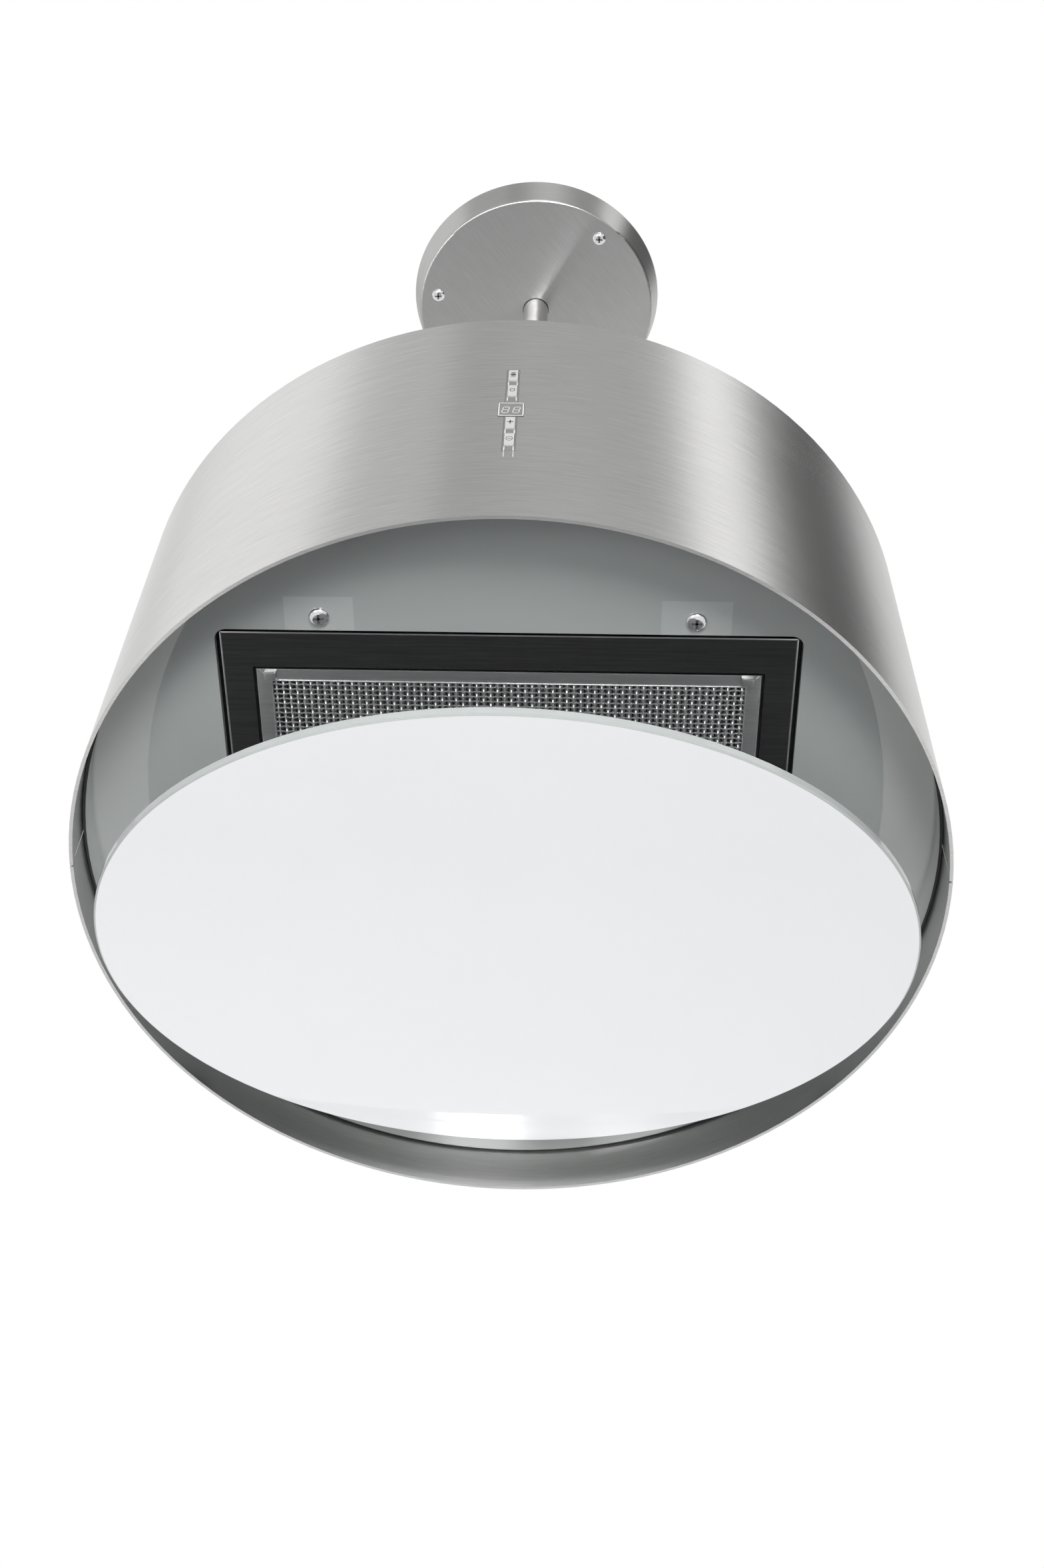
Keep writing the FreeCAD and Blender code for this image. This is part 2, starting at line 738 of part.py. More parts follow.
def mesh_block(gap):
    """The mesh core's space, half a border deep in the frame; a gap makes it smaller all round."""
    edge = f"filter_border/2 + {gap}"
    middle = "filter_low + filter_height/2"
    return box(f"-filter_half + {edge}", f"filter_half - ({edge})", f"-filter_front + {edge}",
               f"filter_rear - ({edge})", f"{middle} - mesh_height/2 + {gap}",
               f"{middle} + mesh_height/2 - {gap}")


def filter_mesh():
    node(mesh_block("0.1"), "filter_mesh")


# ---------------------------------------------------------------- blower

def intake_box():
    half = "(tray_half - 2)"
    outer = box(f"-{half}", half, f"-{half}", half, "intake_low", "scroll_low")
    inner = box(f"-{half} + tray_sheet", f"{half} - tray_sheet", f"-{half} + tray_sheet",
                f"{half} - tray_sheet", "intake_low - 1", "scroll_low - tray_sheet")
    foot = centred_box("2*lip_half", "2*lip_half", "intake_low", "intake_low + tray_sheet")
    inlet = cylinder("inlet_radius + 10", "intake_height + 2", z="intake_low")
    holes = tray_holes("intake_low")
    node(cut(fuse(outer, foot), inner, inlet, *holes), "intake_box")


TONGUE_ANGLE = 20


def polar(radius, degrees):
    turn = math.radians(degrees)
    return Vector(radius*math.cos(turn), radius*math.sin(turn), 0)


def scroll_block(inset, height):
    """A solid of the scroll's outline: four quarter arcs, each a step larger, and a straight outlet.

    The outer outline leaves out the sharp notch behind the tongue, where the outlet meets the spiral.
    """
    step = float(sizes.scroll_step)
    start = float(sizes.scroll_start_radius)
    end = float(sizes.outlet_reach) + inset
    left = start - step/2 + inset
    centre = Vector(-step/2, step/2, 0)
    edges = []
    for quarter in range(4):
        low = 90*quarter if quarter or inset else TONGUE_ANGLE
        high = 90*(quarter + 1)
        places = [centre + polar(start + quarter*step - inset, turn) for turn in (low, (low + high)/2, high)]
        edges.append(Part.Arc(*places).toShape())
        first = places[0] if quarter == 0 else first
        last = places[2]
        centre = centre - polar(step, high)
    for place_after in (Vector(last.x, end, 0), Vector(left, end, 0), Vector(left, first.y, 0), first):
        edges.append(Part.makeLine(last, place_after))
        last = place_after
    return Part.Face(Part.Wire(edges)).extrude(Vector(0, 0, height))


def scroll_half(label, z, floor_low, hole_radius):
    """A half of the blower's housing: a flat end with a round hole, and half of the spiral wall."""
    wall = float(sizes.scroll_wall)
    height = float(sizes.scroll_height)/2
    inner = scroll_block(wall, height)
    inner.translate(Vector(0, 0, wall if floor_low else -wall))
    hole = Part.makeCylinder(hole_radius, height*2, Vector(0, 0, -height/2))
    thing = doc.addObject("Part::Feature", label)
    thing.Shape = scroll_block(0, height).cut(inner).cut(hole)
    place(thing, 0, 0, z)
    node(thing, label)


def blower_housing():
    scroll_half("blower_lower_half", "scroll_low", True, float(sizes.inlet_radius) + 10)
    scroll_half("blower_upper_half", "scroll_middle", False, float(sizes.shaft_radius) + 9)


def inlet_ring():
    """The round-mouthed ring that leads air into the impeller's eye."""
    owner = body("inlet_ring", "scroll_low + scroll_wall")
    edge = "inlet_radius"
    revolve(owner, [(edge, 0), (f"{edge} + 22", 0), (f"{edge} + 22", 1.5), (f"{edge} + 4", 1.5),
                    (f"{edge} + 1.2", 4), (f"{edge} + 1.2", 9), (edge, 9)])


def impeller():
    """A back plate with its hub, a ring of upright blades, and a shroud ring under them."""
    owner = body("impeller", "impeller_low")
    inner = "impeller_radius - blade_depth"
    blade = sketch(owner)
    rectangle(blade, f"{inner} + 1", "impeller_radius - 1", -0.8, 0.8)
    pad_blade = pad(owner, blade, "impeller_height - 1")
    doc.recompute()
    repeat_around(owner, pad_blade, "blade_count")
    shroud = sketch(owner)
    circle(shroud, "impeller_radius")
    circle(shroud, inner)
    owner.Tip = pad(owner, shroud, 2)
    doc.recompute()
    top = "impeller_height"
    revolve(owner, [("shaft_radius", f"{top} - 20"), ("shaft_radius + 7", f"{top} - 20"),
                    ("shaft_radius + 7", f"{top} - 2"), ("impeller_radius", f"{top} - 2"),
                    ("impeller_radius", top), ("shaft_radius", top)])


def motor_shaft():
    node(cylinder("shaft_radius", "motor_top - impeller_top + 24", z="impeller_top - 22"), "motor_shaft")


def motor_housing():
    """The motor's can, with a seat for a bearing in each end, on a round foot."""
    can = cylinder("motor_radius", "motor_height + motor_wall", z="foot_low")
    foot = cylinder("motor_foot_radius", "motor_wall", z="foot_low")
    hollow = cylinder("motor_radius - motor_wall", "motor_height - 10", z="foot_low + 6.5")
    seat = cylinder(11, "motor_height + motor_wall", z="foot_low")
    holes = [cylinder(2.2, "motor_wall", x, y, "foot_low") for x, y in around("grommet_circle", MOTOR_ANGLES)]
    node(cut(fuse(can, foot), hollow, seat, *holes), "motor_housing")


MOTOR_ANGLES = (30, 150, 270)


def motor_bearings():
    rings = [ring(11, "shaft_radius + running_gap", 6, z=z) for z in ("foot_low", "motor_top - 6")]
    node(group(*rings), "motor_bearings")


def motor_stator():
    node(ring("motor_radius - motor_wall", "27", "motor_height - 24", z="foot_low + 14"), "motor_stator")


def motor_rotor():
    node(ring("26", "shaft_radius", "motor_height - 24", z="foot_low + 14"), "motor_rotor")


def motor_grommets():
    grommets = [ring(8, 2.2, "grommet_height", x, y, "scroll_top")
                for x, y in around("grommet_circle", MOTOR_ANGLES)]
    node(group(*grommets), "motor_grommets")


def motor_screws():
    screws = [pan_screw(4, "grommet_height + motor_wall - 0.5", 8, x, y, "foot_top")
              for x, y in around("grommet_circle", MOTOR_ANGLES)]
    node(group(*screws), "motor_screws")


def charcoal_filter():
    """The odour cartridge that closes the blower's outlet, with its slotted grid."""
    low, high = ("scroll_outlet_low - 4", "scroll_outlet_high + 4")
    block = box(low, high, "outlet_reach", "outlet_reach + charcoal_depth", "scroll_low", "scroll_top")
    pitch = "scroll_height/8"
    slots = [box(f"{low} + 6", f"{high} - 6", "outlet_reach - 1", "outlet_reach + charcoal_depth + 1",
                 f"scroll_low + {pitch}*{step + 0.25}", f"scroll_low + {pitch}*{step + 0.75}")
             for step in range(8)]
    node(cut(block, *slots), "charcoal_filter")


# ---------------------------------------------------------------- electrics

def control_box():
    low_x, high_x, half_y = ("box_high_x - 56", "box_high_x", "75")
    top = "ring_top + 50"
    outer = box(low_x, high_x, f"-{half_y}", half_y, "ring_top", top)
    inner = box(f"{low_x} + 2", f"{high_x} - 2", f"-{half_y} + 2", f"{half_y} - 2", "ring_top + 2", top)
    entry = cylinder(4, 10, f"{high_x} - 5", 0, f"ring_top + 30", "x")
    pegs = [cylinder(3, 6, x, y, "ring_top + 2") for x, y in board_places()]
    node(fuse(cut(outer, inner, entry), *pegs), "control_box")
    lid = box(low_x, high_x, f"-{half_y}", half_y, top, f"{top} + 2")
    tongue = box(f"{low_x} + 2 + seat_gap", f"{high_x} - 2 - seat_gap", f"-{half_y} + 2 + seat_gap",
                 f"{half_y} - 2 - seat_gap", f"{top} - 3", top)
    node(fuse(lid, tongue), "control_box_lid")


def board_places():
    return [(x, y) for x in ("box_high_x - 46", "box_high_x - 10") for y in ("-60", "60")]


def power_board():
    """The supply board on its four pegs, with a transformer and the motor's capacitor."""
    face = "ring_top + 9.6"
    board = box("box_high_x - 51", "box_high_x - 5", -68, 68, "ring_top + 8", face)
    transformer = box("box_high_x - 44", "box_high_x - 14", -50, -10, face, "ring_top + 38")
    capacitor = cylinder(15, 30, "box_high_x - 28", 30, face)
    node(fuse(board, transformer, capacitor), "power_board")


# ---------------------------------------------------------------- controls

BUTTONS = (
    ("lamp_button", "upper_button_top", 0),
    ("fan_button", "upper_button_top", 1),
    ("faster_button", "lower_button_top", 0),
    ("slower_button", "lower_button_top", 1),
)


def button_span(top, step):
    high = f"rim + {top} - {step}*button_pitch"
    return f"{high} - button_height", high


def control_bezel():
    """The narrow dark strip in the front shell's slot, with a window for each button."""
    front = "-drum_radius + seat_gap"
    low, high = ("rim + control_bottom", "rim + control_top")
    strip = centred_box("control_width", "control_depth", low, high, 0, f"{front} + control_depth/2")
    flange = centred_box("control_width + 12", 1.5, f"{low} - 6", f"{high} + 6", 0,
                         f"{front} + control_depth + 0.75")
    windows = []
    for label, top, step in BUTTONS:
        span_low, span_high = button_span(top, step)
        windows.append(centred_box("button_width + 0.4", 20, f"{span_low} - 0.2", f"{span_high} + 0.2", 0,
                                   "-drum_radius"))
    seat = centred_box("control_width + 20", "control_depth*2", "rim + display_middle - display_height/2",
                       "rim + display_middle + display_height/2", 0, front)
    node(cut(fuse(strip, flange), seat, *windows), "control_bezel")


def display_window():
    front = "-drum_radius - seat_gap"
    low = "rim + display_middle - display_height/2"
    high = "rim + display_middle + display_height/2"
    pane = centred_box("display_width", "control_depth", low, high, 0, f"{front} + control_depth/2")
    node(pane, "display_window")


def buttons():
    """Each cap stands a little proud, with a wider foot behind the bezel that stops it."""
    for label, top, step in BUTTONS:
        low, high = button_span(top, step)
        back = "-drum_radius + seat_gap + control_depth + 1.5"
        front = "-drum_radius - button_proud"
        cap = box("-button_width/2", "button_width/2", front, f"{back} + 0.1", low, high)
        foot = box("-button_width/2 - 1", "button_width/2 + 1", f"{back} + 0.1", f"{back} + 1.1",
                   f"{low} - 1", f"{high} + 1")
        node(fuse(cap, foot), label)


def control_board():
    """The button board on two pillars, with a small switch behind each button."""
    bezel_back = "-drum_radius + seat_gap + control_depth + 1.5"
    face = "switch_face + 4"
    board = centred_box(20, 1.6, "rim + control_bottom - 6", "rim + control_top + 6", 0, f"{face} + 0.8")
    pillars = [box(-4, 4, bezel_back, face, f"rim + {low}", f"rim + {low} + 3")
               for low in ("control_bottom - 5.5", "control_top + 2.5")]
    node(fuse(board, *pillars), "control_board")
    switches = []
    for label, top, step in BUTTONS:
        low, high = button_span(top, step)
        middle = f"(({low}) + ({high}))/2"
        switches.append(centred_box(6, 4, f"{middle} - 3", f"{middle} + 3", 0, "switch_face + 2"))
    node(group(*switches), "button_switches")


# ---------------------------------------------------------------- tilting disc

def tilt(thing):
    """Swings a piece that is built round the hinge axis, closed, down to its open place."""
    thing.Placement.Rotation = Rotation(Vector(1, 0, 0), 1)
    thing.setExpression("Placement.Rotation.Angle", formula("disc_tilt"))
    place(thing, 0, "hinge_y", "hinge_height")
    return thing


def glass_disc():
    owner = doc.addObject("PartDesign::Body", "glass_disc")
    tilt(owner)
    node(owner, "glass_disc")
    disc = sketch(owner)
    circle(disc, "disc_radius", 0, "-hinge_y")
    disc.setExpression("AttachmentOffset.Base.z", formula("disc_low"))
    blank = pad(owner, disc, "disc_sheet")
    doc.recompute()
    edges = [f"Edge{index}" for index, edge in enumerate(blank.Shape.Edges, 1)
             if isinstance(edge.Curve, Part.Circle)]
    bevel = owner.newObject("PartDesign::Chamfer", "bevel")
    bevel.Base = (blank, edges)
    bind(bevel, Size="disc_bevel")
    doc.recompute()


def hinge_brackets():
    """Fixed plates under the glass, each with two ears down to the hinge axis."""
    brackets = []
    for side in (-1, 1):
        x = f"{side}*panel_screw_x"
        plate = centred_box(30, 24, "panel_low - frame_sheet", "panel_low", x, "hinge_y")
        hole = cylinder(2.7, "frame_sheet", x, "hinge_y", "panel_low - frame_sheet")
        ears = []
        for offset in (-8, 8):
            ear_x = f"({x} + {offset} - 1.25)"
            ears.append(cylinder("hinge_knuckle", 2.5, ear_x, "hinge_y", "hinge_height", "x"))
            ears.append(box(ear_x, f"{ear_x} + 2.5", "hinge_y - hinge_knuckle", "hinge_y + hinge_knuckle",
                            "hinge_height", "panel_low - frame_sheet"))
        bore = cylinder("hinge_pin/2", 22, f"{x} - 11", "hinge_y", "hinge_height", "x")
        brackets.append(cut(fuse(plate, *ears), hole, bore))
    node(group(*brackets), "hinge_brackets")


def hinge_pins():
    pins = []
    for side in (-1, 1):
        x = f"{side}*panel_screw_x"
        stem = cylinder("hinge_pin/2", 20, f"{x} - 10", "hinge_y", "hinge_height", "x")
        head = cylinder("hinge_pin*0.8", 1.5, f"{x} + 9.25", "hinge_y", "hinge_height", "x")
        pins.append(fuse(stem, head))
    node(group(*pins), "hinge_pins")


def friction_washers():
    washers = [ring("hinge_knuckle - 0.5", "hinge_pin/2 + running_gap", 1,
                    f"{side}*panel_screw_x + {offset}", "hinge_y", "hinge_height", "x")
               for side in (-1, 1) for offset in (-6.7, 5.7)]
    node(group(*washers), "friction_washers")


def hinge_leaves():
    """Pads bonded to the disc's back, each with a lug between its bracket's ears."""
    leaves = []
    for side in (-1, 1):
        x = f"{side}*panel_screw_x"
        pad_plate = centred_box(36, 30, "disc_top", "disc_top + 2", x, 0)
        web = centred_box(11, "hinge_knuckle*2", "disc_top + 1", 0, x, 0)
        lug = cylinder("hinge_knuckle", 11, f"{x} - 5.5", 0, 0, "x")
        bore = cylinder("hinge_pin/2 + running_gap", 13, f"{x} - 6.5", 0, 0, "x")
        leaves.append(cut(fuse(pad_plate, web, lug), bore))
    node(tilt(group(*leaves)), "hinge_leaves")


def catch_places():
    return [(f"{side}*panel_screw_x", "-2*panel_screw_y") for side in (-1, 1)]


def catch_posts():
    posts = [fuse(cone(12, 8, 3, x, y, "disc_top"), cone(8, 7, "catch_post - 3", x, y, "disc_top + 3"))
             for x, y in catch_places()]
    node(tilt(group(*posts)), "catch_posts")


def catch_magnets():
    """Magnets that meet the two front screw heads when the disc is shut."""
    magnets = [cylinder(6, "catch_magnet", x, y, "disc_top + catch_post") for x, y in catch_places()]
    node(tilt(group(*magnets)), "catch_magnets")


# ---------------------------------------------------------------- build and export

def build():
    fill_sheet()
    for make in (ceiling_bracket, canopy_standoffs, canopy_cover, canopy_screws, suspension_tube,
                 tube_set_screws, tube_flange, flange_bolts, cable_gland, top_plate, top_beams,
                 support_posts, support_ring, shells, seam_straps, shell_screws, glass_panel,
                 edge_gasket, backing_plates, panel_screws, led_strips, filter_tray, tray_screws,
                 filter_frame, filter_mesh, intake_box, blower_housing, inlet_ring, impeller,
                 motor_shaft, motor_housing, motor_bearings, motor_stator, motor_rotor,
                 motor_grommets, motor_screws, charcoal_filter, control_box, power_board,
                 control_bezel, display_window, buttons, control_board, glass_disc, hinge_brackets,
                 hinge_pins, friction_washers, hinge_leaves, catch_posts, catch_magnets):
        make()
    doc.recompute()


def check():
    """Stops the build if any object failed or any sub-part has no sound shape."""
    failed = [item.Name for item in doc.Objects if {"Invalid", "Error"} & set(item.State)]
    unsound = [item.Label for item in nodes if item.Shape.isNull() or not item.Shape.isValid()]
    if failed or unsound:
        raise RuntimeError(f"failed objects {failed}, unsound shapes {unsound}")


def export():
    os.makedirs("parts", exist_ok=True)
    for item in nodes:
        item.Shape.exportStep(f"parts/{item.Label}.step")


build()
check()
export()
print(f"{len(nodes)} sub-parts written")
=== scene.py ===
"""Looks of an island range hood: a brushed steel drum on a tube, open below on a tilting glass disc."""
import json
import math

import bmesh
import bpy
from mathutils import Matrix, Vector

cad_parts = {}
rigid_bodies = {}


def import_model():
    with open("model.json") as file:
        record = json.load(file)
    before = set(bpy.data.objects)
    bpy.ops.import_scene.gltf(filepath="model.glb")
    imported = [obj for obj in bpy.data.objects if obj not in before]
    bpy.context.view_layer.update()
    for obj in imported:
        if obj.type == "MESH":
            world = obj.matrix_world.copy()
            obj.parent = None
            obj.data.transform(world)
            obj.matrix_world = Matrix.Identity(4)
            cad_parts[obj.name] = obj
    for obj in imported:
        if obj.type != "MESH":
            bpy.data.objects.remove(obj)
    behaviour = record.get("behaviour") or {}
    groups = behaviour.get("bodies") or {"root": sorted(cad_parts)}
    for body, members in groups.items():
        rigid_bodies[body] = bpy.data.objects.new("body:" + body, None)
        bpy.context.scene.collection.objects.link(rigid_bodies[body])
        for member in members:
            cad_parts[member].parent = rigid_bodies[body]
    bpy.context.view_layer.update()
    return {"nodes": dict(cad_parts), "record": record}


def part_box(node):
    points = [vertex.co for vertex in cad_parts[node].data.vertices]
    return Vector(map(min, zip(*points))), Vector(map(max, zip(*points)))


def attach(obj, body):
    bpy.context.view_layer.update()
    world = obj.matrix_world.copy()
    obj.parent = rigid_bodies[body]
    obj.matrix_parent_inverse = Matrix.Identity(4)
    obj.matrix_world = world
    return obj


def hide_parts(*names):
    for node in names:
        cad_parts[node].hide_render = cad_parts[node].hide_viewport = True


for leftover in list(bpy.data.objects):
    bpy.data.objects.remove(leftover)

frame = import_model()
nodes = frame["nodes"]

MM = 0.001
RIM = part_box("rear_shell")[0].z
DISC_TILT = math.radians(16.35)     # how far the disc hangs open at rest
CANOPY_GRAIN = math.radians(50)     # direction of the brushed lines on the canopy's face
PANEL_SCREW_HEAD = 14 * MM
CANOPY_SCREW_HEAD = 14.4 * MM
RAIL_HEIGHT = 9 * MM                # of the filter cassette's rails
RAIL_BORDER = 10 * MM
MESH_PITCH = (4.6 * MM, 3.9 * MM)

# the mix node has several inputs of one name, so its vectors and colours go by number
MIX_VECTORS, VECTOR_RESULT = (4, 5), 1
MIX_COLOURS, COLOUR_RESULT = (6, 7), 2


# ---------------------------------------------------------------- shader tools

def put(tree, kind, feed=None, **settings):
    """A node with its settings; feed gives each input a value or another node's output."""
    made = tree.nodes.new(kind)
    for name, value in settings.items():
        setattr(made, name, value)
    for key, value in (feed or {}).items():
        if isinstance(value, bpy.types.NodeSocket):
            tree.links.new(value, made.inputs[key])
        else:
            made.inputs[key].default_value = value
    return made


def math_node(tree, operation, *values, clamp=False):
    return put(tree, "ShaderNodeMath", dict(enumerate(values)), operation=operation, use_clamp=clamp).outputs[0]


def new_group(name, inputs, outputs):
    """An empty node group, with the sockets of its input and output nodes."""
    tree = bpy.data.node_groups.new(name, "ShaderNodeTree")
    for label, kind, value in inputs:
        socket = tree.interface.new_socket(label, in_out="INPUT", socket_type="NodeSocket" + kind)
        if value is not None:
            socket.default_value = value
    for label, kind in outputs:
        tree.interface.new_socket(label, in_out="OUTPUT", socket_type="NodeSocket" + kind)
    return tree, tree.nodes.new("NodeGroupInput").outputs, tree.nodes.new("NodeGroupOutput").inputs


def new_pattern(name, streaks):
    """A group that turns a vector into a tone and a height."""
    return new_group(name, [("Vector", "Vector", None), ("Streaks", "Float", streaks)],
                     [("Tone", "Float"), ("Height", "Float")])


def noise(tree, vector, **feed):
    """A noise texture's value."""
    feed = {key.replace("_", " "): value for key, value in feed.items()}
    return put(tree, "ShaderNodeTexNoise", {"Vector": vector, **feed}).outputs["Fac"]


def brushed_grain():
    """Fine lines left by a belt: the vector comes in squeezed across the lines."""
    tree, given, out = new_pattern("brushed_grain", 0.35)
    fine = noise(tree, given["Vector"], Scale=1.0, Detail=4.0, Roughness=0.65)
    broad = noise(tree, given["Vector"], Scale=0.13, Detail=2.0)
    swing = math_node(tree, "MULTIPLY", math_node(tree, "SUBTRACT", broad, 0.5), given["Streaks"])
    mixed = math_node(tree, "ADD", fine, swing)
    tone = put(tree, "ShaderNodeMapRange", {"Value": mixed, "From Min": 0.25, "From Max": 0.75}).outputs[0]
    tree.links.new(tone, out["Tone"])
    tree.links.new(fine, out["Height"])
    return tree


def handling_marks():
    """Large faint patches where a surface has been wiped and touched."""
    tree, given, out = new_group("handling_marks", [("Vector", "Vector", None), ("Scale", "Float", 9.0),
                                                    ("Plain", "Float", 0.3), ("Swing", "Float", 0.05)],
                                 [("Roughness", "Float"), ("Tone", "Float")])
    cloud = noise(tree, given["Vector"], Scale=given["Scale"], Detail=5.0, Roughness=0.6, Distortion=0.4)
    swing = math_node(tree, "MULTIPLY", math_node(tree, "SUBTRACT", cloud, 0.5), given["Swing"])
    rough = math_node(tree, "ADD", given["Plain"], math_node(tree, "MULTIPLY", swing, 2.0))
    tree.links.new(rough, out["Roughness"])
    tree.links.new(cloud, out["Tone"])
    return tree


def moulded_skin():
    """The fine spark-eroded skin of moulded plastic and rubber."""
    tree, given, out = new_pattern("moulded_skin", 0.4)
    grit = noise(tree, given["Vector"], Scale=1.0, Detail=3.0, Roughness=0.7)
    patch = noise(tree, given["Vector"], Scale=0.03, Detail=2.0)
    tree.links.new(math_node(tree, "ADD", math_node(tree, "MULTIPLY", grit, 0.6),
                             math_node(tree, "MULTIPLY", patch, given["Streaks"])), out["Tone"])
    tree.links.new(grit, out["Height"])
    return tree


def zinc_spangle():
    """The crystal patches of zinc on plated sheet."""
    tree, given, out = new_pattern("zinc_spangle", 0.5)
    cells = put(tree, "ShaderNodeTexVoronoi", {"Vector": given["Vector"], "Scale": 1.0, "Randomness": 1.0})
    shade = put(tree, "ShaderNodeSeparateColor", {"Color": cells.outputs["Color"]}).outputs[0]
    fine = noise(tree, given["Vector"], Scale=6.0, Detail=3.0)
    tree.links.new(math_node(tree, "ADD", math_node(tree, "MULTIPLY", shade, given["Streaks"]),
                             math_node(tree, "MULTIPLY", fine, 0.5)), out["Tone"])
    tree.links.new(fine, out["Height"])
    return tree


GRAIN, MARKS, SKIN, SPANGLE = brushed_grain(), handling_marks(), moulded_skin(), zinc_spangle()


def start_material(name):
    """A new material, its tree, its shader and the object coordinates."""
    material = bpy.data.materials.new(name)
    material.use_nodes = True
    tree = material.node_tree
    return material, tree, tree.nodes["Principled BSDF"], put(tree, "ShaderNodeTexCoord").outputs["Object"]


def tint_by(tree, tone, dark, light):
    """A colour between two, by tone; the first may be another node's output."""
    dark = dark if isinstance(dark, bpy.types.NodeSocket) else (*dark, 1)
    return put(tree, "ShaderNodeMix", {0: tone, MIX_COLOURS[0]: dark, MIX_COLOURS[1]: (*light, 1)},
               data_type="RGBA").outputs[COLOUR_RESULT]


def vector_by(tree, choice, first, second):
    """The first vector where choice is nought, and the second where it is one."""
    return put(tree, "ShaderNodeMix", {0: choice, MIX_VECTORS[0]: first, MIX_VECTORS[1]: second},
               data_type="VECTOR").outputs[VECTOR_RESULT]


def touched_surface(tree, shader, where, scale, roughness, swing):
    """Lets handling marks vary the gloss; returns their tone."""
    feed = {"Vector": where, "Scale": scale, "Plain": roughness, "Swing": swing}
    marks = group_node(tree, MARKS, feed)
    tree.links.new(marks["Roughness"], shader.inputs["Roughness"])
    return marks["Tone"]


def group_node(tree, group, feed):
    """A shared group placed in a material; returns its outputs."""
    node = put(tree, "ShaderNodeGroup", node_tree=group)
    for key, value in feed.items():
        if isinstance(value, bpy.types.NodeSocket):
            tree.links.new(value, node.inputs[key])
        else:
            node.inputs[key].default_value = value
    return node.outputs


def bump_from(tree, shader, height, strength, distance):
    raised = put(tree, "ShaderNodeBump", {"Height": height, "Strength": strength, "Distance": distance})
    tree.links.new(raised.outputs[0], shader.inputs["Normal"])


def plain_material(name, pattern, scale, dark, light, roughness, swing=0.05, bump=0.0, **sockets):
    """A finish whose tone, gloss and bump follow one pattern; the rest sits on the shader itself.
    One number for the scale serves all three directions, and one for a colour is a grey."""
    material, tree, shader, here = start_material(name)
    scale, dark, light = (value if isinstance(value, tuple) else (value,) * 3 for value in (scale, dark, light))
    drawn = put(tree, "ShaderNodeMapping", {"Vector": here, "Scale": scale}).outputs[0]
    figure = group_node(tree, pattern, {"Vector": drawn, "Streaks": 0.4})
    touched_surface(tree, shader, here, 12.0, roughness, swing)
    tree.links.new(tint_by(tree, figure["Tone"], dark, light), shader.inputs["Base Color"])
    if bump:
        bump_from(tree, shader, figure["Height"], 1.0, bump)
    for key, value in sockets.items():
        shader.inputs[key.replace("_", " ")].default_value = value
    return material


def brushed_steel(name, dark, light, flat_turn, roughness=0.245, spread=0.82):
    """Brushed sheet: lines run round the walls, and straight across the flat faces at flat_turn."""
    along, across = 34, 900
    material, tree, shader, here = start_material(name)
    facing = put(tree, "ShaderNodeNewGeometry").outputs["Normal"]
    upright = put(tree, "ShaderNodeSeparateXYZ", {"Vector": facing}).outputs["Z"]
    flat = math_node(tree, "GREATER_THAN", math_node(tree, "ABSOLUTE", upright), 0.7)
    wall = put(tree, "ShaderNodeMapping", {"Vector": here, "Scale": (along, along, across)}).outputs[0]
    face = put(tree, "ShaderNodeMapping", {"Vector": here, "Rotation": (0, 0, flat_turn),
                                           "Scale": (1 / along, 1 / across, 1 / along)},
               vector_type="TEXTURE").outputs[0]
    figure = group_node(tree, GRAIN, {"Vector": vector_by(tree, flat, wall, face), "Streaks": 0.07})
    touched_surface(tree, shader, here, 7.0, roughness, 0.03)
    tree.links.new(tint_by(tree, figure["Tone"], dark, light), shader.inputs["Base Color"])
    bump_from(tree, shader, figure["Height"], 0.45, 0.02 * MM)
    # the reflection spreads square to the lines: up the walls, and across them on the faces
    wide = vector_by(tree, flat, (0, 0, 1), (-math.sin(flat_turn), math.cos(flat_turn), 0))
    tree.links.new(wide, shader.inputs["Tangent"])
    shader.inputs["Metallic"].default_value = 1.0
    shader.inputs["Anisotropic"].default_value = spread
    return material


def white_glass(name, centre, radius):
    """White-backed glass: cool white, with a greyer ground edge."""
    material, tree, shader, here = start_material(name)
    own = put(tree, "ShaderNodeMapping", {"Vector": here, "Location": centre, "Rotation": (DISC_TILT, 0, 0)},
              vector_type="TEXTURE").outputs[0]
    flat = put(tree, "ShaderNodeVectorMath", {0: own, 1: (1, 1, 0)}, operation="MULTIPLY").outputs[0]
    out = put(tree, "ShaderNodeVectorMath", {0: flat}, operation="LENGTH").outputs["Value"]
    edge = put(tree, "ShaderNodeMapRange", {"Value": out, "From Min": radius - 1.6 * MM,
                                            "From Max": radius - 1.0 * MM},
               interpolation_type="SMOOTHSTEP").outputs[0]
    cloud = tint_by(tree, touched_surface(tree, shader, own, 4.0, 0.045, 0.015),
                    (0.755, 0.765, 0.78), (0.785, 0.795, 0.81))
    tree.links.new(tint_by(tree, edge, cloud, (0.36, 0.38, 0.375)), shader.inputs["Base Color"])
    shader.inputs["IOR"].default_value = 1.5
    return material


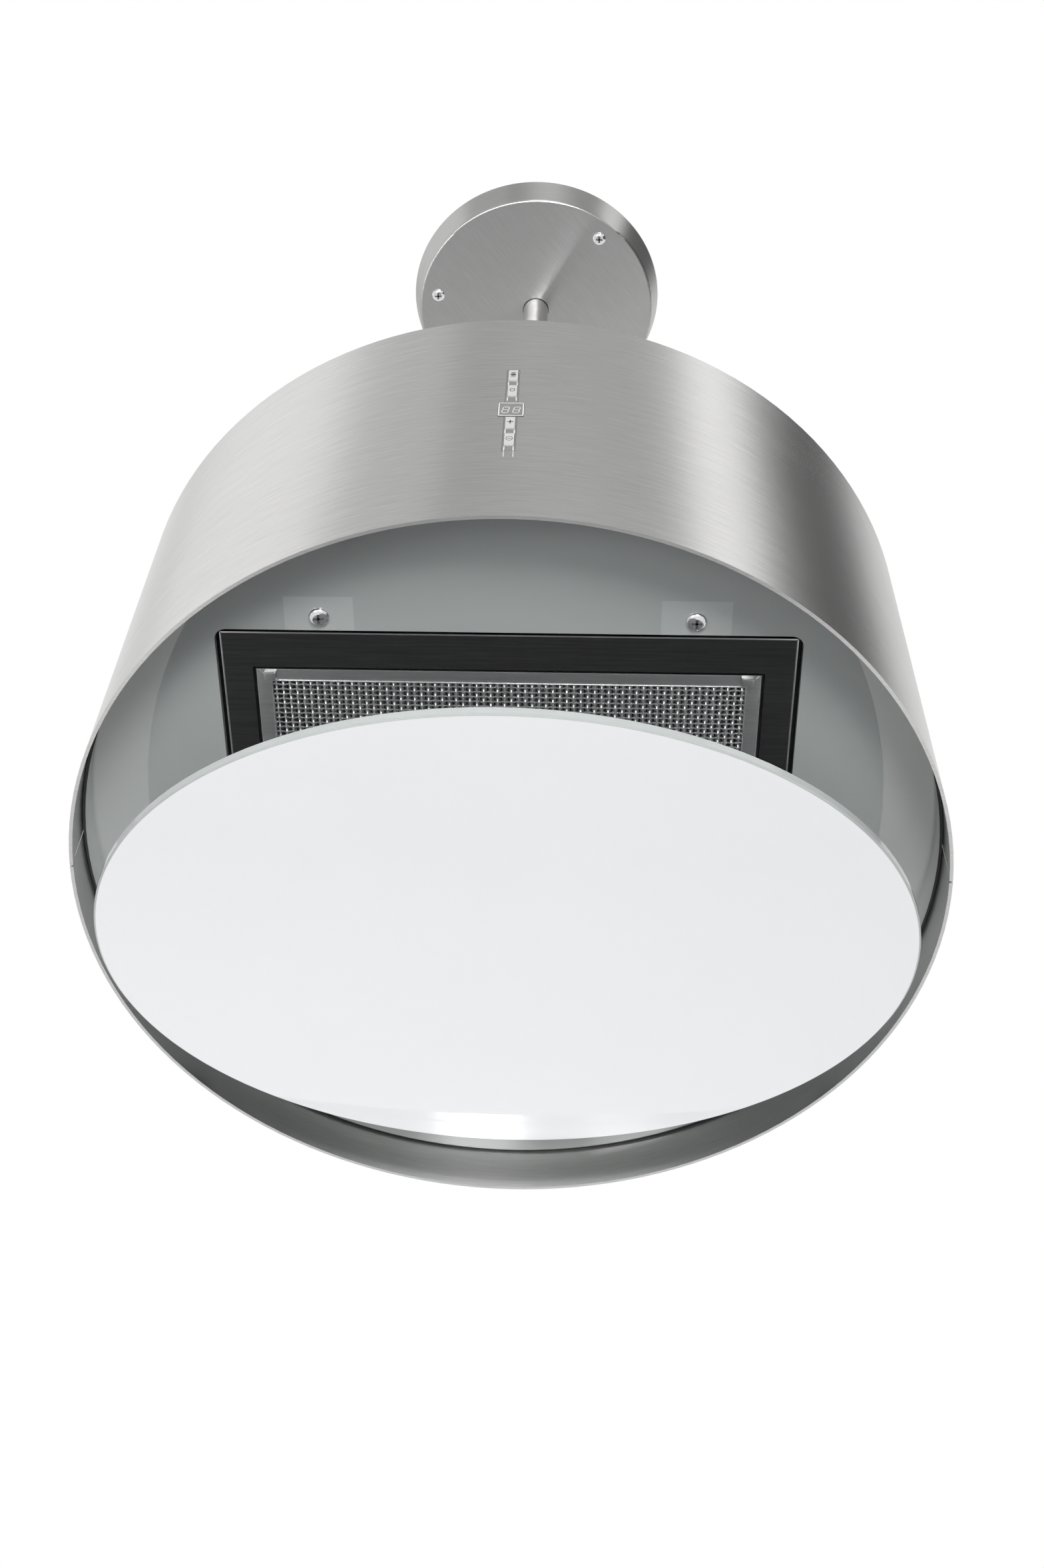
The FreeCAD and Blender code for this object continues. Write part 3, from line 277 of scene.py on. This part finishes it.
def green_glass(name, plates):
    """Back-painted grey-green glass, paler where the four screw plates press on the paint."""
    half, soft = Vector((22.5 * MM, 15.5 * MM)), 0.6 * MM
    corner = plates[1].xy - Vector((22.5 * MM, 13 * MM))
    material, tree, shader, here = start_material(name)
    place = put(tree, "ShaderNodeSeparateXYZ", {"Vector": here}).outputs
    sides = []
    for axis in (0, 1):
        off = math_node(tree, "SUBTRACT", math_node(tree, "ABSOLUTE", place[axis]), corner[axis])
        sides.append(put(tree, "ShaderNodeMapRange", {"Value": math_node(tree, "ABSOLUTE", off),
                                                      "From Min": half[axis] + soft,
                                                      "From Max": half[axis] - soft},
                         interpolation_type="SMOOTHSTEP").outputs[0])
    pale = math_node(tree, "MULTIPLY", math_node(tree, "MULTIPLY", *sides), 0.4)
    cloud = tint_by(tree, touched_surface(tree, shader, here, 6.0, 0.03, 0.01),
                    (0.30, 0.318, 0.313), (0.325, 0.343, 0.338))
    tree.links.new(tint_by(tree, pale, cloud, (0.46, 0.48, 0.475)), shader.inputs["Base Color"])
    shader.inputs["IOR"].default_value = 1.85
    return material


# ---------------------------------------------------------------- finishes

disc_low, disc_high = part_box("glass_disc")
FINISH = {
    "brushed_shell": brushed_steel("drum_steel", (0.61, 0.607, 0.60), (0.73, 0.727, 0.72), 0.0),
    # the canopy's steel is the drum's steel toned darker: painted shade
    "canopy": brushed_steel("canopy_steel_painted_shade", (0.46, 0.458, 0.453), (0.54, 0.538, 0.533), CANOPY_GRAIN,
                            roughness=0.34, spread=0.9),
    "green_glass": green_glass("panel_glass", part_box("backing_plates")),
    "white_glass": white_glass("disc_glass", (disc_low + disc_high) / 2, disc_high.x),
    "chrome_screw": plain_material("screw_chrome", GRAIN, 300, (0.78, 0.78, 0.79), (0.88, 0.88, 0.89), 0.14,
                                   Metallic=1.0),
    "zinc_steel": plain_material("zinc_plate", SPANGLE, 95, (0.46, 0.47, 0.48), (0.64, 0.65, 0.66), 0.42,
                                 swing=0.08, bump=0.03 * MM, Metallic=0.9),
    "dark_steel": plain_material("dark_tray_steel", GRAIN, (20, 700, 700), 0.045, (0.068, 0.068, 0.069),
                                 0.36, bump=0.02 * MM, Metallic=0.8),
    "filter_aluminium": plain_material("frame_aluminium", GRAIN, (18, 700, 700), (0.50, 0.51, 0.507),
                                       (0.60, 0.61, 0.607), 0.36, bump=0.02 * MM, Metallic=1.0),
    "black_rubber": plain_material("gasket_rubber", SKIN, 900, 0.018, 0.05, 0.7, bump=0.05 * MM),
    "board_green": plain_material("board_laminate", SKIN, 500, (0.03, 0.15, 0.07), (0.06, 0.26, 0.12), 0.45,
                                  bump=0.02 * MM, Coat_Weight=0.3),
    "black_plastic": plain_material("black_moulding", SKIN, 1100, (0.02, 0.02, 0.022),
                                    (0.055, 0.055, 0.06), 0.5, bump=0.03 * MM),
    "display_glass": plain_material("display_smoke", SKIN, 400, (0.16, 0.163, 0.16), (0.22, 0.223, 0.22),
                                    0.1, swing=0.02, IOR=1.5),
    "button_grey": plain_material("button_satin", SKIN, 1500, (0.42, 0.425, 0.42), (0.50, 0.505, 0.50), 0.4,
                                  bump=0.01 * MM),
    "motor_metal": plain_material("motor_casting", SKIN, 260, (0.20, 0.20, 0.21), (0.36, 0.36, 0.37), 0.5,
                                  bump=0.1 * MM, Metallic=0.7),
    "hinge_steel": plain_material("hinge_plate", GRAIN, (300, 20, 300), (0.50, 0.50, 0.51),
                                  (0.68, 0.68, 0.69), 0.3, bump=0.02 * MM, Metallic=1.0),
}
# the mesh's bright wire, and also the pale strips painted as highlights along the cassette's arrises
wire_and_painted_highlight = plain_material("mesh_wire_and_painted_highlight", GRAIN, 400, (0.80, 0.81, 0.80), (0.93, 0.94, 0.93), 0.16,
                             swing=0.08, Metallic=1.0)
# the back layer's wire is the front wire toned dark: painted shade
wire_painted_shade = plain_material("core_wire_painted_shade", GRAIN, 400, 0.07, 0.16, 0.4, swing=0.08, Metallic=1.0)
bezel_grey = plain_material("bezel_moulding", SKIN, 1200, (0.13, 0.13, 0.125), (0.24, 0.24, 0.235), 0.45,
                            bump=0.02 * MM)
# a pale strip round the tray's fold, painted as its highlight
tray_painted_highlight = plain_material("painted_fold_highlight", GRAIN, (20, 700, 700), 0.52, 0.64, 0.3, Metallic=1.0)
# ink for the printed signs, and also the painted shade in the screws' cross recesses
ink_and_painted_shade = plain_material("printed_marks_and_painted_shade", SKIN, 900, 0.03, 0.09, 0.5)
lit_trim = plain_material("clear_trim", SKIN, 700, (0.56, 0.57, 0.56), (0.70, 0.71, 0.70), 0.25, IOR=1.5)

for row in frame["record"]["subparts"]:
    holder = nodes[row["node"]].data
    holder.materials.clear()
    holder.materials.append(FINISH[row["material_slot"]])
# the canopy gets the darker copy of the drum's steel, its darker tone painted shade
nodes["canopy_cover"].data.materials[0] = FINISH["canopy"]
nodes["control_bezel"].data.materials[0] = bezel_grey


# ---------------------------------------------------------------- pieces

def finish_piece(shape, name, material, body, smooth=35):
    """The shape as an object at the origin, riding on its body."""
    mesh = bpy.data.meshes.new(name)
    bmesh.ops.recalc_face_normals(shape, faces=shape.faces)
    shape.to_mesh(mesh)
    shape.free()
    mesh.materials.append(material)
    for face in mesh.polygons:
        face.use_smooth = True
    mesh.set_sharp_from_angle(angle=math.radians(smooth))
    piece = bpy.data.objects.new(name, mesh)
    bpy.context.scene.collection.objects.link(piece)
    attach(piece, body)
    return piece


def round_edges(shape, verts, radius):
    edges = list({edge for vert in verts for edge in vert.link_edges})
    bmesh.ops.bevel(shape, geom=edges, offset=radius, offset_type="OFFSET", affect="EDGES", segments=2,
                    profile=0.5, material=-1)


def add_block(shape, low, high, round_edge=0.0):
    """A block between two corners; returns its vertices unless its edges are rounded."""
    low, high = Vector(low), Vector(high)
    made = bmesh.ops.create_cube(shape, size=1.0, matrix=Matrix.Translation((low + high) / 2) @
                                 Matrix.Diagonal((*(high - low), 1)))["verts"]
    if round_edge:
        round_edges(shape, made, round_edge)
        return None
    return made


def add_rail(shape, low, high, inward, border, round_edge):
    """One side of a frame, its ends cut at 45 degrees; inward is the axis and the side that faces the middle."""
    joint = 0.12 * MM
    axis, sign = inward
    run = 1 - axis
    made = add_block(shape, low, high)
    for vert in made:
        end = 1 if vert.co[run] > (low[run] + high[run]) / 2 else -1
        vert.co[run] -= end * joint
        if (vert.co[axis] > (low[axis] + high[axis]) / 2) == (sign > 0):
            vert.co[run] -= end * border
    round_edges(shape, made, round_edge)


def mitred_frame(shape, low, high, border, round_edge):
    """Four rails with mitred corners."""
    x0, y0, z0 = low
    x1, y1, z1 = high
    for rail_low, rail_high, inward in (((x0, y1 - border, z0), (x1, y1, z1), (1, -1)),
                                        ((x0, y0, z0), (x1, y0 + border, z1), (1, 1)),
                                        ((x0, y0, z0), (x0 + border, y1, z1), (0, 1)),
                                        ((x1 - border, y0, z0), (x1, y1, z1), (0, -1))):
        add_rail(shape, rail_low, rail_high, inward, border, round_edge)


def crimped_wire(shape, start, step, count, crimp, radius, sides):
    """One wire drawn out crossing by crossing, over one cross wire and under the next."""
    direction = Vector(step).normalized()
    turn = direction.to_track_quat("Z", "Y").to_matrix().to_4x4()
    ring = bmesh.ops.create_circle(shape, segments=sides, radius=radius, cap_ends=False,
                                   matrix=Matrix.Translation(start) @ turn)["verts"]
    edges = list({edge for vert in ring for edge in vert.link_edges})
    for index in range(count):
        grown = bmesh.ops.extrude_edge_only(shape, edges=edges)["geom"]
        ring = [item for item in grown if isinstance(item, bmesh.types.BMVert)]
        edges = [item for item in grown if isinstance(item, bmesh.types.BMEdge)]
        lift = -2 * crimp if index % 2 == 0 else 2 * crimp
        bmesh.ops.translate(shape, verts=ring, vec=Vector(step) + Vector((0, 0, lift)))


def woven_layer(name, low, high, pitch, radius, middle, wire, sides=6):
    """A weave of crimped wires between two corners: in both runs, each second wire crosses over where
    its neighbours cross under, so one wire of each kind is drawn and then repeated."""
    crimp = radius * 0.95
    shape = bmesh.new()
    spans = (high[0] - low[0], high[1] - low[1])
    counts = [int(spans[axis] / pitch[axis]) for axis in (0, 1)]
    for run in (0, 1):
        across = 1 - run
        step = [0, 0, 0]
        step[run] = pitch[run]
        for phase in (0, 1):
            single = bmesh.new()
            start = Vector((low[0], low[1], middle))
            start[across] += pitch[across] * (0.5 + phase)
            start[run] += (spans[run] - counts[run] * pitch[run]) / 2
            side = crimp if (phase + run) % 2 else -crimp
            start.z += side
            crimped_wire(single, start, step, counts[run], side, radius, sides)
            store = bpy.data.meshes.new("one_wire")
            single.to_mesh(store)
            single.free()
            for index in range(phase, counts[across], 2):
                before = len(shape.verts)
                shape.from_mesh(store)
                shape.verts.ensure_lookup_table()
                shift = Vector((0, 0, 0))
                shift[across] = pitch[across] * (index - phase)
                bmesh.ops.translate(shape, verts=shape.verts[before:], vec=shift)
            bpy.data.meshes.remove(store)
    return finish_piece(shape, name, wire, "filter", smooth=60)


def cassette_mesh():
    """Two layers of weave: a bright one below, and one behind it and half a pitch over, its wire darkened as
    painted shade.
    """
    low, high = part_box("filter_mesh")
    middle = (low.z + high.z) / 2
    face = woven_layer("grease_mesh_face", low, high, MESH_PITCH, 0.68 * MM, low.z + 1.7 * MM, wire_and_painted_highlight)
    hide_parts("filter_mesh")
    woven_layer("grease_mesh_core", low + Vector((2.4 * MM, 2 * MM, 0)), high, MESH_PITCH, 0.55 * MM,
                middle + 1.2 * MM, wire_painted_shade, sides=4)


def cassette_frame():
    """The cassette's four channel rails, with pivot pins and finger tabs."""
    low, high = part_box("filter_frame")
    half, floor = high.y, high.z - RAIL_HEIGHT
    pin_radius, tab_half = 2 * MM, 4 * MM
    shape = bmesh.new()
    mitred_frame(shape, (-half, low.y, floor), (half, high.y, high.z), RAIL_BORDER, 0.7 * MM)
    for side in (-1, 1):
        pin = Vector((side * (high.x + half - MM) / 2, half - 8 * MM, floor + RAIL_HEIGHT / 2))
        bmesh.ops.create_cone(shape, cap_ends=True, segments=20, radius1=pin_radius, radius2=pin_radius,
                              depth=high.x - half + MM,
                              matrix=Matrix.Translation(pin) @ Matrix.Rotation(math.pi / 2, 4, "Y"))
        middle = side * (half - 9 * MM)
        add_block(shape, (middle - tab_half, low.y + 2 * MM, low.z),
                  (middle + tab_half, low.y + 8 * MM, floor + MM), 0.6 * MM)
    piece = finish_piece(shape, "cassette_rails", FINISH["filter_aluminium"], "filter")
    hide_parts("filter_frame")


def flat_ring(shape, centre, outer_x, outer_z, width=0.0):
    """An upright oval of ink facing the front; with a width, a ring."""
    place = Matrix.Translation(centre) @ Matrix.Diagonal((outer_x, 1, outer_z, 1)) @ \
        Matrix.Rotation(math.pi / 2, 4, "X")
    oval = bmesh.ops.create_circle(shape, segments=28, radius=1.0, cap_ends=True, matrix=place)["verts"]
    faces = list({face for vert in oval for face in vert.link_faces})
    if width:
        bmesh.ops.inset_region(shape, faces=faces, thickness=width, use_even_offset=True, use_boundary=True)
        bmesh.ops.delete(shape, geom=faces, context="FACES_ONLY")


def ink_bar(shape, centre, half_x, half_z, lift=0.0):
    middle = centre + Vector((0, 0, lift))
    half = Vector((half_x, 0.03 * MM, half_z))
    add_block(shape, middle - half, middle + half)


def lamp_sign(shape, centre):
    flat_ring(shape, centre, 1.9 * MM, 1.9 * MM)
    for lift in (-3.25 * MM, 3.25 * MM):
        ink_bar(shape, centre, 1.6 * MM, 0.35 * MM, lift)


def fan_sign(shape, centre):
    flat_ring(shape, centre, 1.8 * MM, 2.4 * MM, 0.6 * MM)


def plus_sign(shape, centre):
    ink_bar(shape, centre, 2.0 * MM, 0.45 * MM)
    ink_bar(shape, centre, 0.45 * MM, 2.2 * MM)


def minus_sign(shape, centre):
    flat_ring(shape, centre, 2.3 * MM, 2.9 * MM, 0.5 * MM)
    ink_bar(shape, centre, 1.0 * MM, 0.3 * MM)


def cap_signs():
    """A printed sign on each of the four caps."""
    for cap, draw in (("lamp", lamp_sign), ("fan", fan_sign), ("faster", plus_sign), ("slower", minus_sign)):
        low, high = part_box(cap + "_button")
        shape = bmesh.new()
        draw(shape, Vector((0, low.y - 0.04 * MM, (low.z + high.z) / 2 + MM)))
        finish_piece(shape, cap + "_sign", ink_and_painted_shade, cap + "_button")


def recess_trims():
    """Bright trims down both sides of the recess under each cap, and fainter ones below the last."""
    recess, tail = 4.8 * MM, 8.5 * MM
    shape = bmesh.new()
    for cap in ("lamp_button", "fan_button", "faster_button", "slower_button"):
        low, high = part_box(cap)
        for side in (-1, 1):
            middle = side * 2.95 * MM
            add_block(shape, (middle - 0.4 * MM, low.y + 0.2 * MM, low.z - recess),
                      (middle + 0.4 * MM, low.y + 2.2 * MM, low.z - 0.1 * MM), 0.25 * MM)
    top = low.z - recess
    for side in (-1, 1):
        middle = side * 3.05 * MM
        add_block(shape, (middle - 0.2 * MM, low.y + 0.25 * MM, top - tail),
                  (middle + 0.2 * MM, low.y + 0.8 * MM, top - 0.3 * MM), 0.1 * MM)
    finish_piece(shape, "recess_trims", lit_trim, "hood")


def display_marks():
    """The display's raised border and its two slanted digits."""
    low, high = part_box("display_window")
    face, edge = low.y - 0.05 * MM, 0.9 * MM
    shape = bmesh.new()
    for x0, z0, x1, z1 in ((low.x, high.z - edge, high.x, high.z), (low.x, low.z, high.x, low.z + edge),
                           (low.x, low.z, low.x + edge, high.z), (high.x - edge, low.z, high.x, high.z)):
        add_block(shape, (x0, face, z0), (x1, low.y + 0.6 * MM, z1), 0.2 * MM)
    finish_piece(shape, "display_border", lit_trim, "hood")

    half_x, half_z, thick, gap, slant = 2.0 * MM, 3.9 * MM, 0.26 * MM, 0.35 * MM, 0.16
    middle = (low.z + high.z) / 2 - 0.9 * MM
    shape = bmesh.new()
    for centre in (-3.6 * MM, 3.6 * MM):
        strokes = [(centre, middle + z, half_x - gap, thick) for z in (-half_z, 0, half_z)]
        strokes += [(centre + x, middle + z, thick, half_z / 2 - gap)
                    for x in (-half_x, half_x) for z in (-half_z / 2, half_z / 2)]
        for x, z, reach_x, reach_z in strokes:
            for vert in add_block(shape, (x - reach_x, face + 0.01 * MM, z - reach_z),
                                  (x + reach_x, face + 0.1 * MM, z + reach_z)):
                vert.co.x += (vert.co.z - middle) * slant
    finish_piece(shape, "display_digits", lit_trim, "hood")


def painted_edge_highlights():
    """Painted highlights along the polished arrises: thin pale strips on the cassette's rails and round the
    tray's folded border.
    """
    low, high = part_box("filter_frame")
    half, floor = high.y, high.z - RAIL_HEIGHT
    inner = RAIL_BORDER - 0.7 * MM
    shape = bmesh.new()
    for inset, y_low in ((0.0, low.y), (inner, low.y + inner)):
        reach = half - inset
        mitred_frame(shape, (-reach, y_low, floor - 0.3 * MM), (reach, reach, floor + 0.5 * MM), 0.8 * MM,
                     0.28 * MM)
    # a thin painted highlight line over each mitre
    mitre = RAIL_BORDER - 0.4 * MM
    for side in (-1, 1):
        for corner_y, way in ((half, -1), (low.y, 1)):
            start = Vector((side * half, corner_y, floor - 0.05 * MM))
            line = Vector((-side * mitre, way * mitre, 0))
            made = add_block(shape, (-0.3 * MM, -line.length / 2, -0.25 * MM),
                             (0.3 * MM, line.length / 2, 0.3 * MM))
            bmesh.ops.transform(shape, verts=made, matrix=Matrix.Translation(start + line / 2) @
                                line.to_track_quat("Y", "Z").to_matrix().to_4x4())
    finish_piece(shape, "cassette_painted_highlights", wire_and_painted_highlight, "filter")
    # the tray's fold: a pale strip painted as its highlight
    fold_half, tray_floor = 188 * MM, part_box("filter_tray")[0].z
    shape = bmesh.new()
    mitred_frame(shape, (-fold_half, -fold_half, tray_floor - 0.25 * MM),
                 (fold_half, fold_half, tray_floor + 1.6 * MM), 1.5 * MM, 0.55 * MM)
    finish_piece(shape, "tray_fold", tray_painted_highlight, "hood")


def screw_recess_painted_shade():
    """Dark blocks in the cross recess of each visible screw head, painted as the shade on its floor and walls.
    """
    for name, node, head in (("panel", "panel_screws", PANEL_SCREW_HEAD),
                             ("canopy", "canopy_screws", CANOPY_SCREW_HEAD)):
        # the screws of one node are told apart by how far their vertices lie from each other
        heads = {}
        for vert in nodes[node].data.vertices:
            near = next((key for key in heads if (Vector(key) - vert.co.xy).length < head), None)
            heads.setdefault(near or tuple(vert.co.xy), []).append(vert.co.copy())
        shape = bmesh.new()
        long_arm, short_arm = head * 0.25, head * 0.06
        for points in heads.values():
            tip = min(point.z for point in points)
            x, y = ((min(point[axis] for point in points) + max(point[axis] for point in points)) / 2
                    for axis in (0, 1))
            for half_x, half_y in ((long_arm, short_arm), (short_arm, long_arm)):
                add_block(shape, (x - half_x, y - half_y, tip + head * 0.045),
                          (x + half_x, y + half_y, tip + head * 0.17))
        finish_piece(shape, name + "_screw_recess_painted_shade", ink_and_painted_shade, "hood")


cassette_mesh()
cassette_frame()
painted_edge_highlights()
screw_recess_painted_shade()
cap_signs()
recess_trims()
display_marks()


# ---------------------------------------------------------------- studio

FLOOR_HEIGHT = -2.53
TENT = ((7.2, -2.5), (7.2, 3.0), (4.5, 8.6), (0.15, 11.5))      # radius and height of a card's outline
FLAG = ((1.25, -1.5), (1.25, 0.6), (1.08, 1.5))


def white_behind(tree):
    """One where the eye or a reflection looks, for a plain white surround."""
    rays = put(tree, "ShaderNodeLightPath").outputs
    seen = math_node(tree, "MAXIMUM", rays["Is Camera Ray"], rays["Is Glossy Ray"])
    return math_node(tree, "MAXIMUM", seen, rays["Is Transmission Ray"])


def white_glow(tree, kind, strength):
    return put(tree, kind, {"Color": (1, 1, 1, 1), "Strength": strength}).outputs[0]


def surround():
    world = bpy.data.worlds.new("studio_air")
    bpy.context.scene.world = world
    world.use_nodes = True
    tree = world.node_tree
    tree.nodes.clear()
    chosen = put(tree, "ShaderNodeMixShader", {0: white_behind(tree),
                                               1: white_glow(tree, "ShaderNodeBackground", 0.45),
                                               2: white_glow(tree, "ShaderNodeBackground", 1.0)})
    put(tree, "ShaderNodeOutputWorld", {0: chosen.outputs[0]})


def stage_object(shape, name, material):
    """The shape as part of the studio, which isn't part of the hood."""
    mesh = bpy.data.meshes.new(name)
    shape.to_mesh(mesh)
    shape.free()
    mesh.materials.append(material)
    thing = bpy.data.objects.new(name, mesh)
    bpy.context.scene.collection.objects.link(thing)
    return thing


def studio_floor():
    """A pale floor that bounces light up; the eye sees it as plain white, and through it from below."""
    material, tree, shader, here = start_material("studio_floor")
    mottle = noise(tree, here, Scale=1.5, Detail=3.0)
    tree.links.new(tint_by(tree, mottle, (0.83, 0.83, 0.83), (0.87, 0.87, 0.87)), shader.inputs["Base Color"])
    shader.inputs["Roughness"].default_value = 0.9
    far = put(tree, "ShaderNodeVectorMath", {0: here}, operation="LENGTH").outputs["Value"]
    fade = put(tree, "ShaderNodeMapRange", {"Value": far, "From Min": 3.6, "From Max": 7.0},
               interpolation_type="SMOOTHSTEP").outputs[0]
    rays = put(tree, "ShaderNodeLightPath").outputs
    mirrored = math_node(tree, "MAXIMUM", rays["Is Glossy Ray"], rays["Is Transmission Ray"])
    seen = math_node(tree, "MAXIMUM", math_node(tree, "MULTIPLY", fade, white_behind(tree)),
                     math_node(tree, "MULTIPLY", mirrored, 0.6))
    seen = math_node(tree, "MAXIMUM", seen, rays["Is Camera Ray"])
    covered = put(tree, "ShaderNodeMixShader", {0: seen, 1: shader.outputs[0],
                                                2: white_glow(tree, "ShaderNodeEmission", 1.0)})
    one_sided = put(tree, "ShaderNodeMixShader", {0: put(tree, "ShaderNodeNewGeometry").outputs["Backfacing"],
                                                  1: covered.outputs[0],
                                                  2: put(tree, "ShaderNodeBsdfTransparent").outputs[0]})
    tree.links.new(one_sided.outputs[0], tree.nodes["Material Output"].inputs[0])
    shape = bmesh.new()
    bmesh.ops.create_grid(shape, x_segments=1, y_segments=1, size=14.0,
                          matrix=Matrix.Translation((0, 0, FLOOR_HEIGHT)))
    stage_object(shape, "floor", material)


def studio_card(name, start, end, tone, profile=TENT):
    """A card of the lighting tent, bent round the hood between two bearings and closing overhead.
    Only reflections see it; bearing 0 is the front and 90 the hood's right."""
    material = bpy.data.materials.new(name)
    material.use_nodes = True
    tree = material.node_tree
    tree.nodes.clear()
    glow = put(tree, "ShaderNodeEmission", {"Color": (tone, tone, tone, 1), "Strength": 1.0})
    put(tree, "ShaderNodeOutputMaterial", {0: glow.outputs[0]})
    shape = bmesh.new()
    first = math.radians(start)
    line = [shape.verts.new((radius * math.sin(first), -radius * math.cos(first), height))
            for radius, height in profile]
    edges = [shape.edges.new(pair) for pair in zip(line, line[1:])]
    bmesh.ops.spin(shape, geom=line + edges, cent=(0, 0, 0), axis=(0, 0, 1), angle=math.radians(end - start),
                   steps=max(2, int((end - start) / 4)))
    card = stage_object(shape, name, material)
    card.visible_camera = card.visible_diffuse = card.visible_transmission = False
    card.visible_shadow = card.visible_volume_scatter = False


def area_lamp(name, place, aim, size, watts, reflected=True):
    data = bpy.data.lights.new(name, "AREA")
    data.size, data.energy = size, watts
    thing = bpy.data.objects.new(name, data)
    bpy.context.scene.collection.objects.link(thing)
    direction = Vector(aim) - Vector(place)
    thing.matrix_world = Matrix.Translation(place) @ direction.to_track_quat("-Z", "Y").to_matrix().to_4x4()
    thing.visible_camera = False
    thing.visible_glossy = reflected


def camera():
    """Set low in front of the hood, looking steeply up into its open mouth."""
    lift, turn, roll = (math.radians(angle) for angle in (57.93, -4.47, 4.46))
    forward = Vector((math.sin(turn) * math.cos(lift), math.cos(turn) * math.cos(lift), math.sin(lift)))
    level = Vector((math.cos(turn), -math.sin(turn), 0))
    rise = level.cross(forward)
    across = level * math.cos(roll) + rise * math.sin(roll)
    upward = rise * math.cos(roll) - level * math.sin(roll)
    data = bpy.data.cameras.new("camera")
    data.sensor_width, data.lens = 36.0, 44.23
    data.shift_x, data.shift_y = 0.0213, -0.1457
    data.clip_start, data.clip_end = 0.01, 100
    thing = bpy.data.objects.new("camera", data)
    bpy.context.scene.collection.objects.link(thing)
    place = Matrix((across, upward, -forward)).transposed().to_4x4()
    place.translation = Vector((0.03895, -0.8921, RIM - 0.99347))
    thing.matrix_world = place
    bpy.context.scene.camera = thing


surround()
studio_floor()
for card_name, card_start, card_end, card_tone, outline in (("grey_card_left", -54, -22, 0.60, TENT),
                                                            ("grey_card_front", -22, 48, 0.44, TENT),
                                                            ("strip_card_left", -106, -56, 1.06, TENT),
                                                            ("strip_card_right", 50, 68, 1.3, TENT),
                                                            ("black_card_right", 65, 106, 0.10, FLAG),
                                                            ("grey_card_rear", -127, -113, 0.66, TENT)):
    studio_card(card_name, card_start, card_end, card_tone, outline)
area_lamp("key", (0.35, -2.6, -2.35), (0, 0, -0.95), 1.0, 112)
area_lamp("fill_low", (-0.2, 1.5, -2.1), (0.0, 0.25, -1.0), 0.8, 15, reflected=False)
area_lamp("glint", (-1.1, -1.5, -2.3), (0, -0.1, -0.95), 0.7, 13)
camera()
bpy.context.scene.view_settings.view_transform = "Standard"
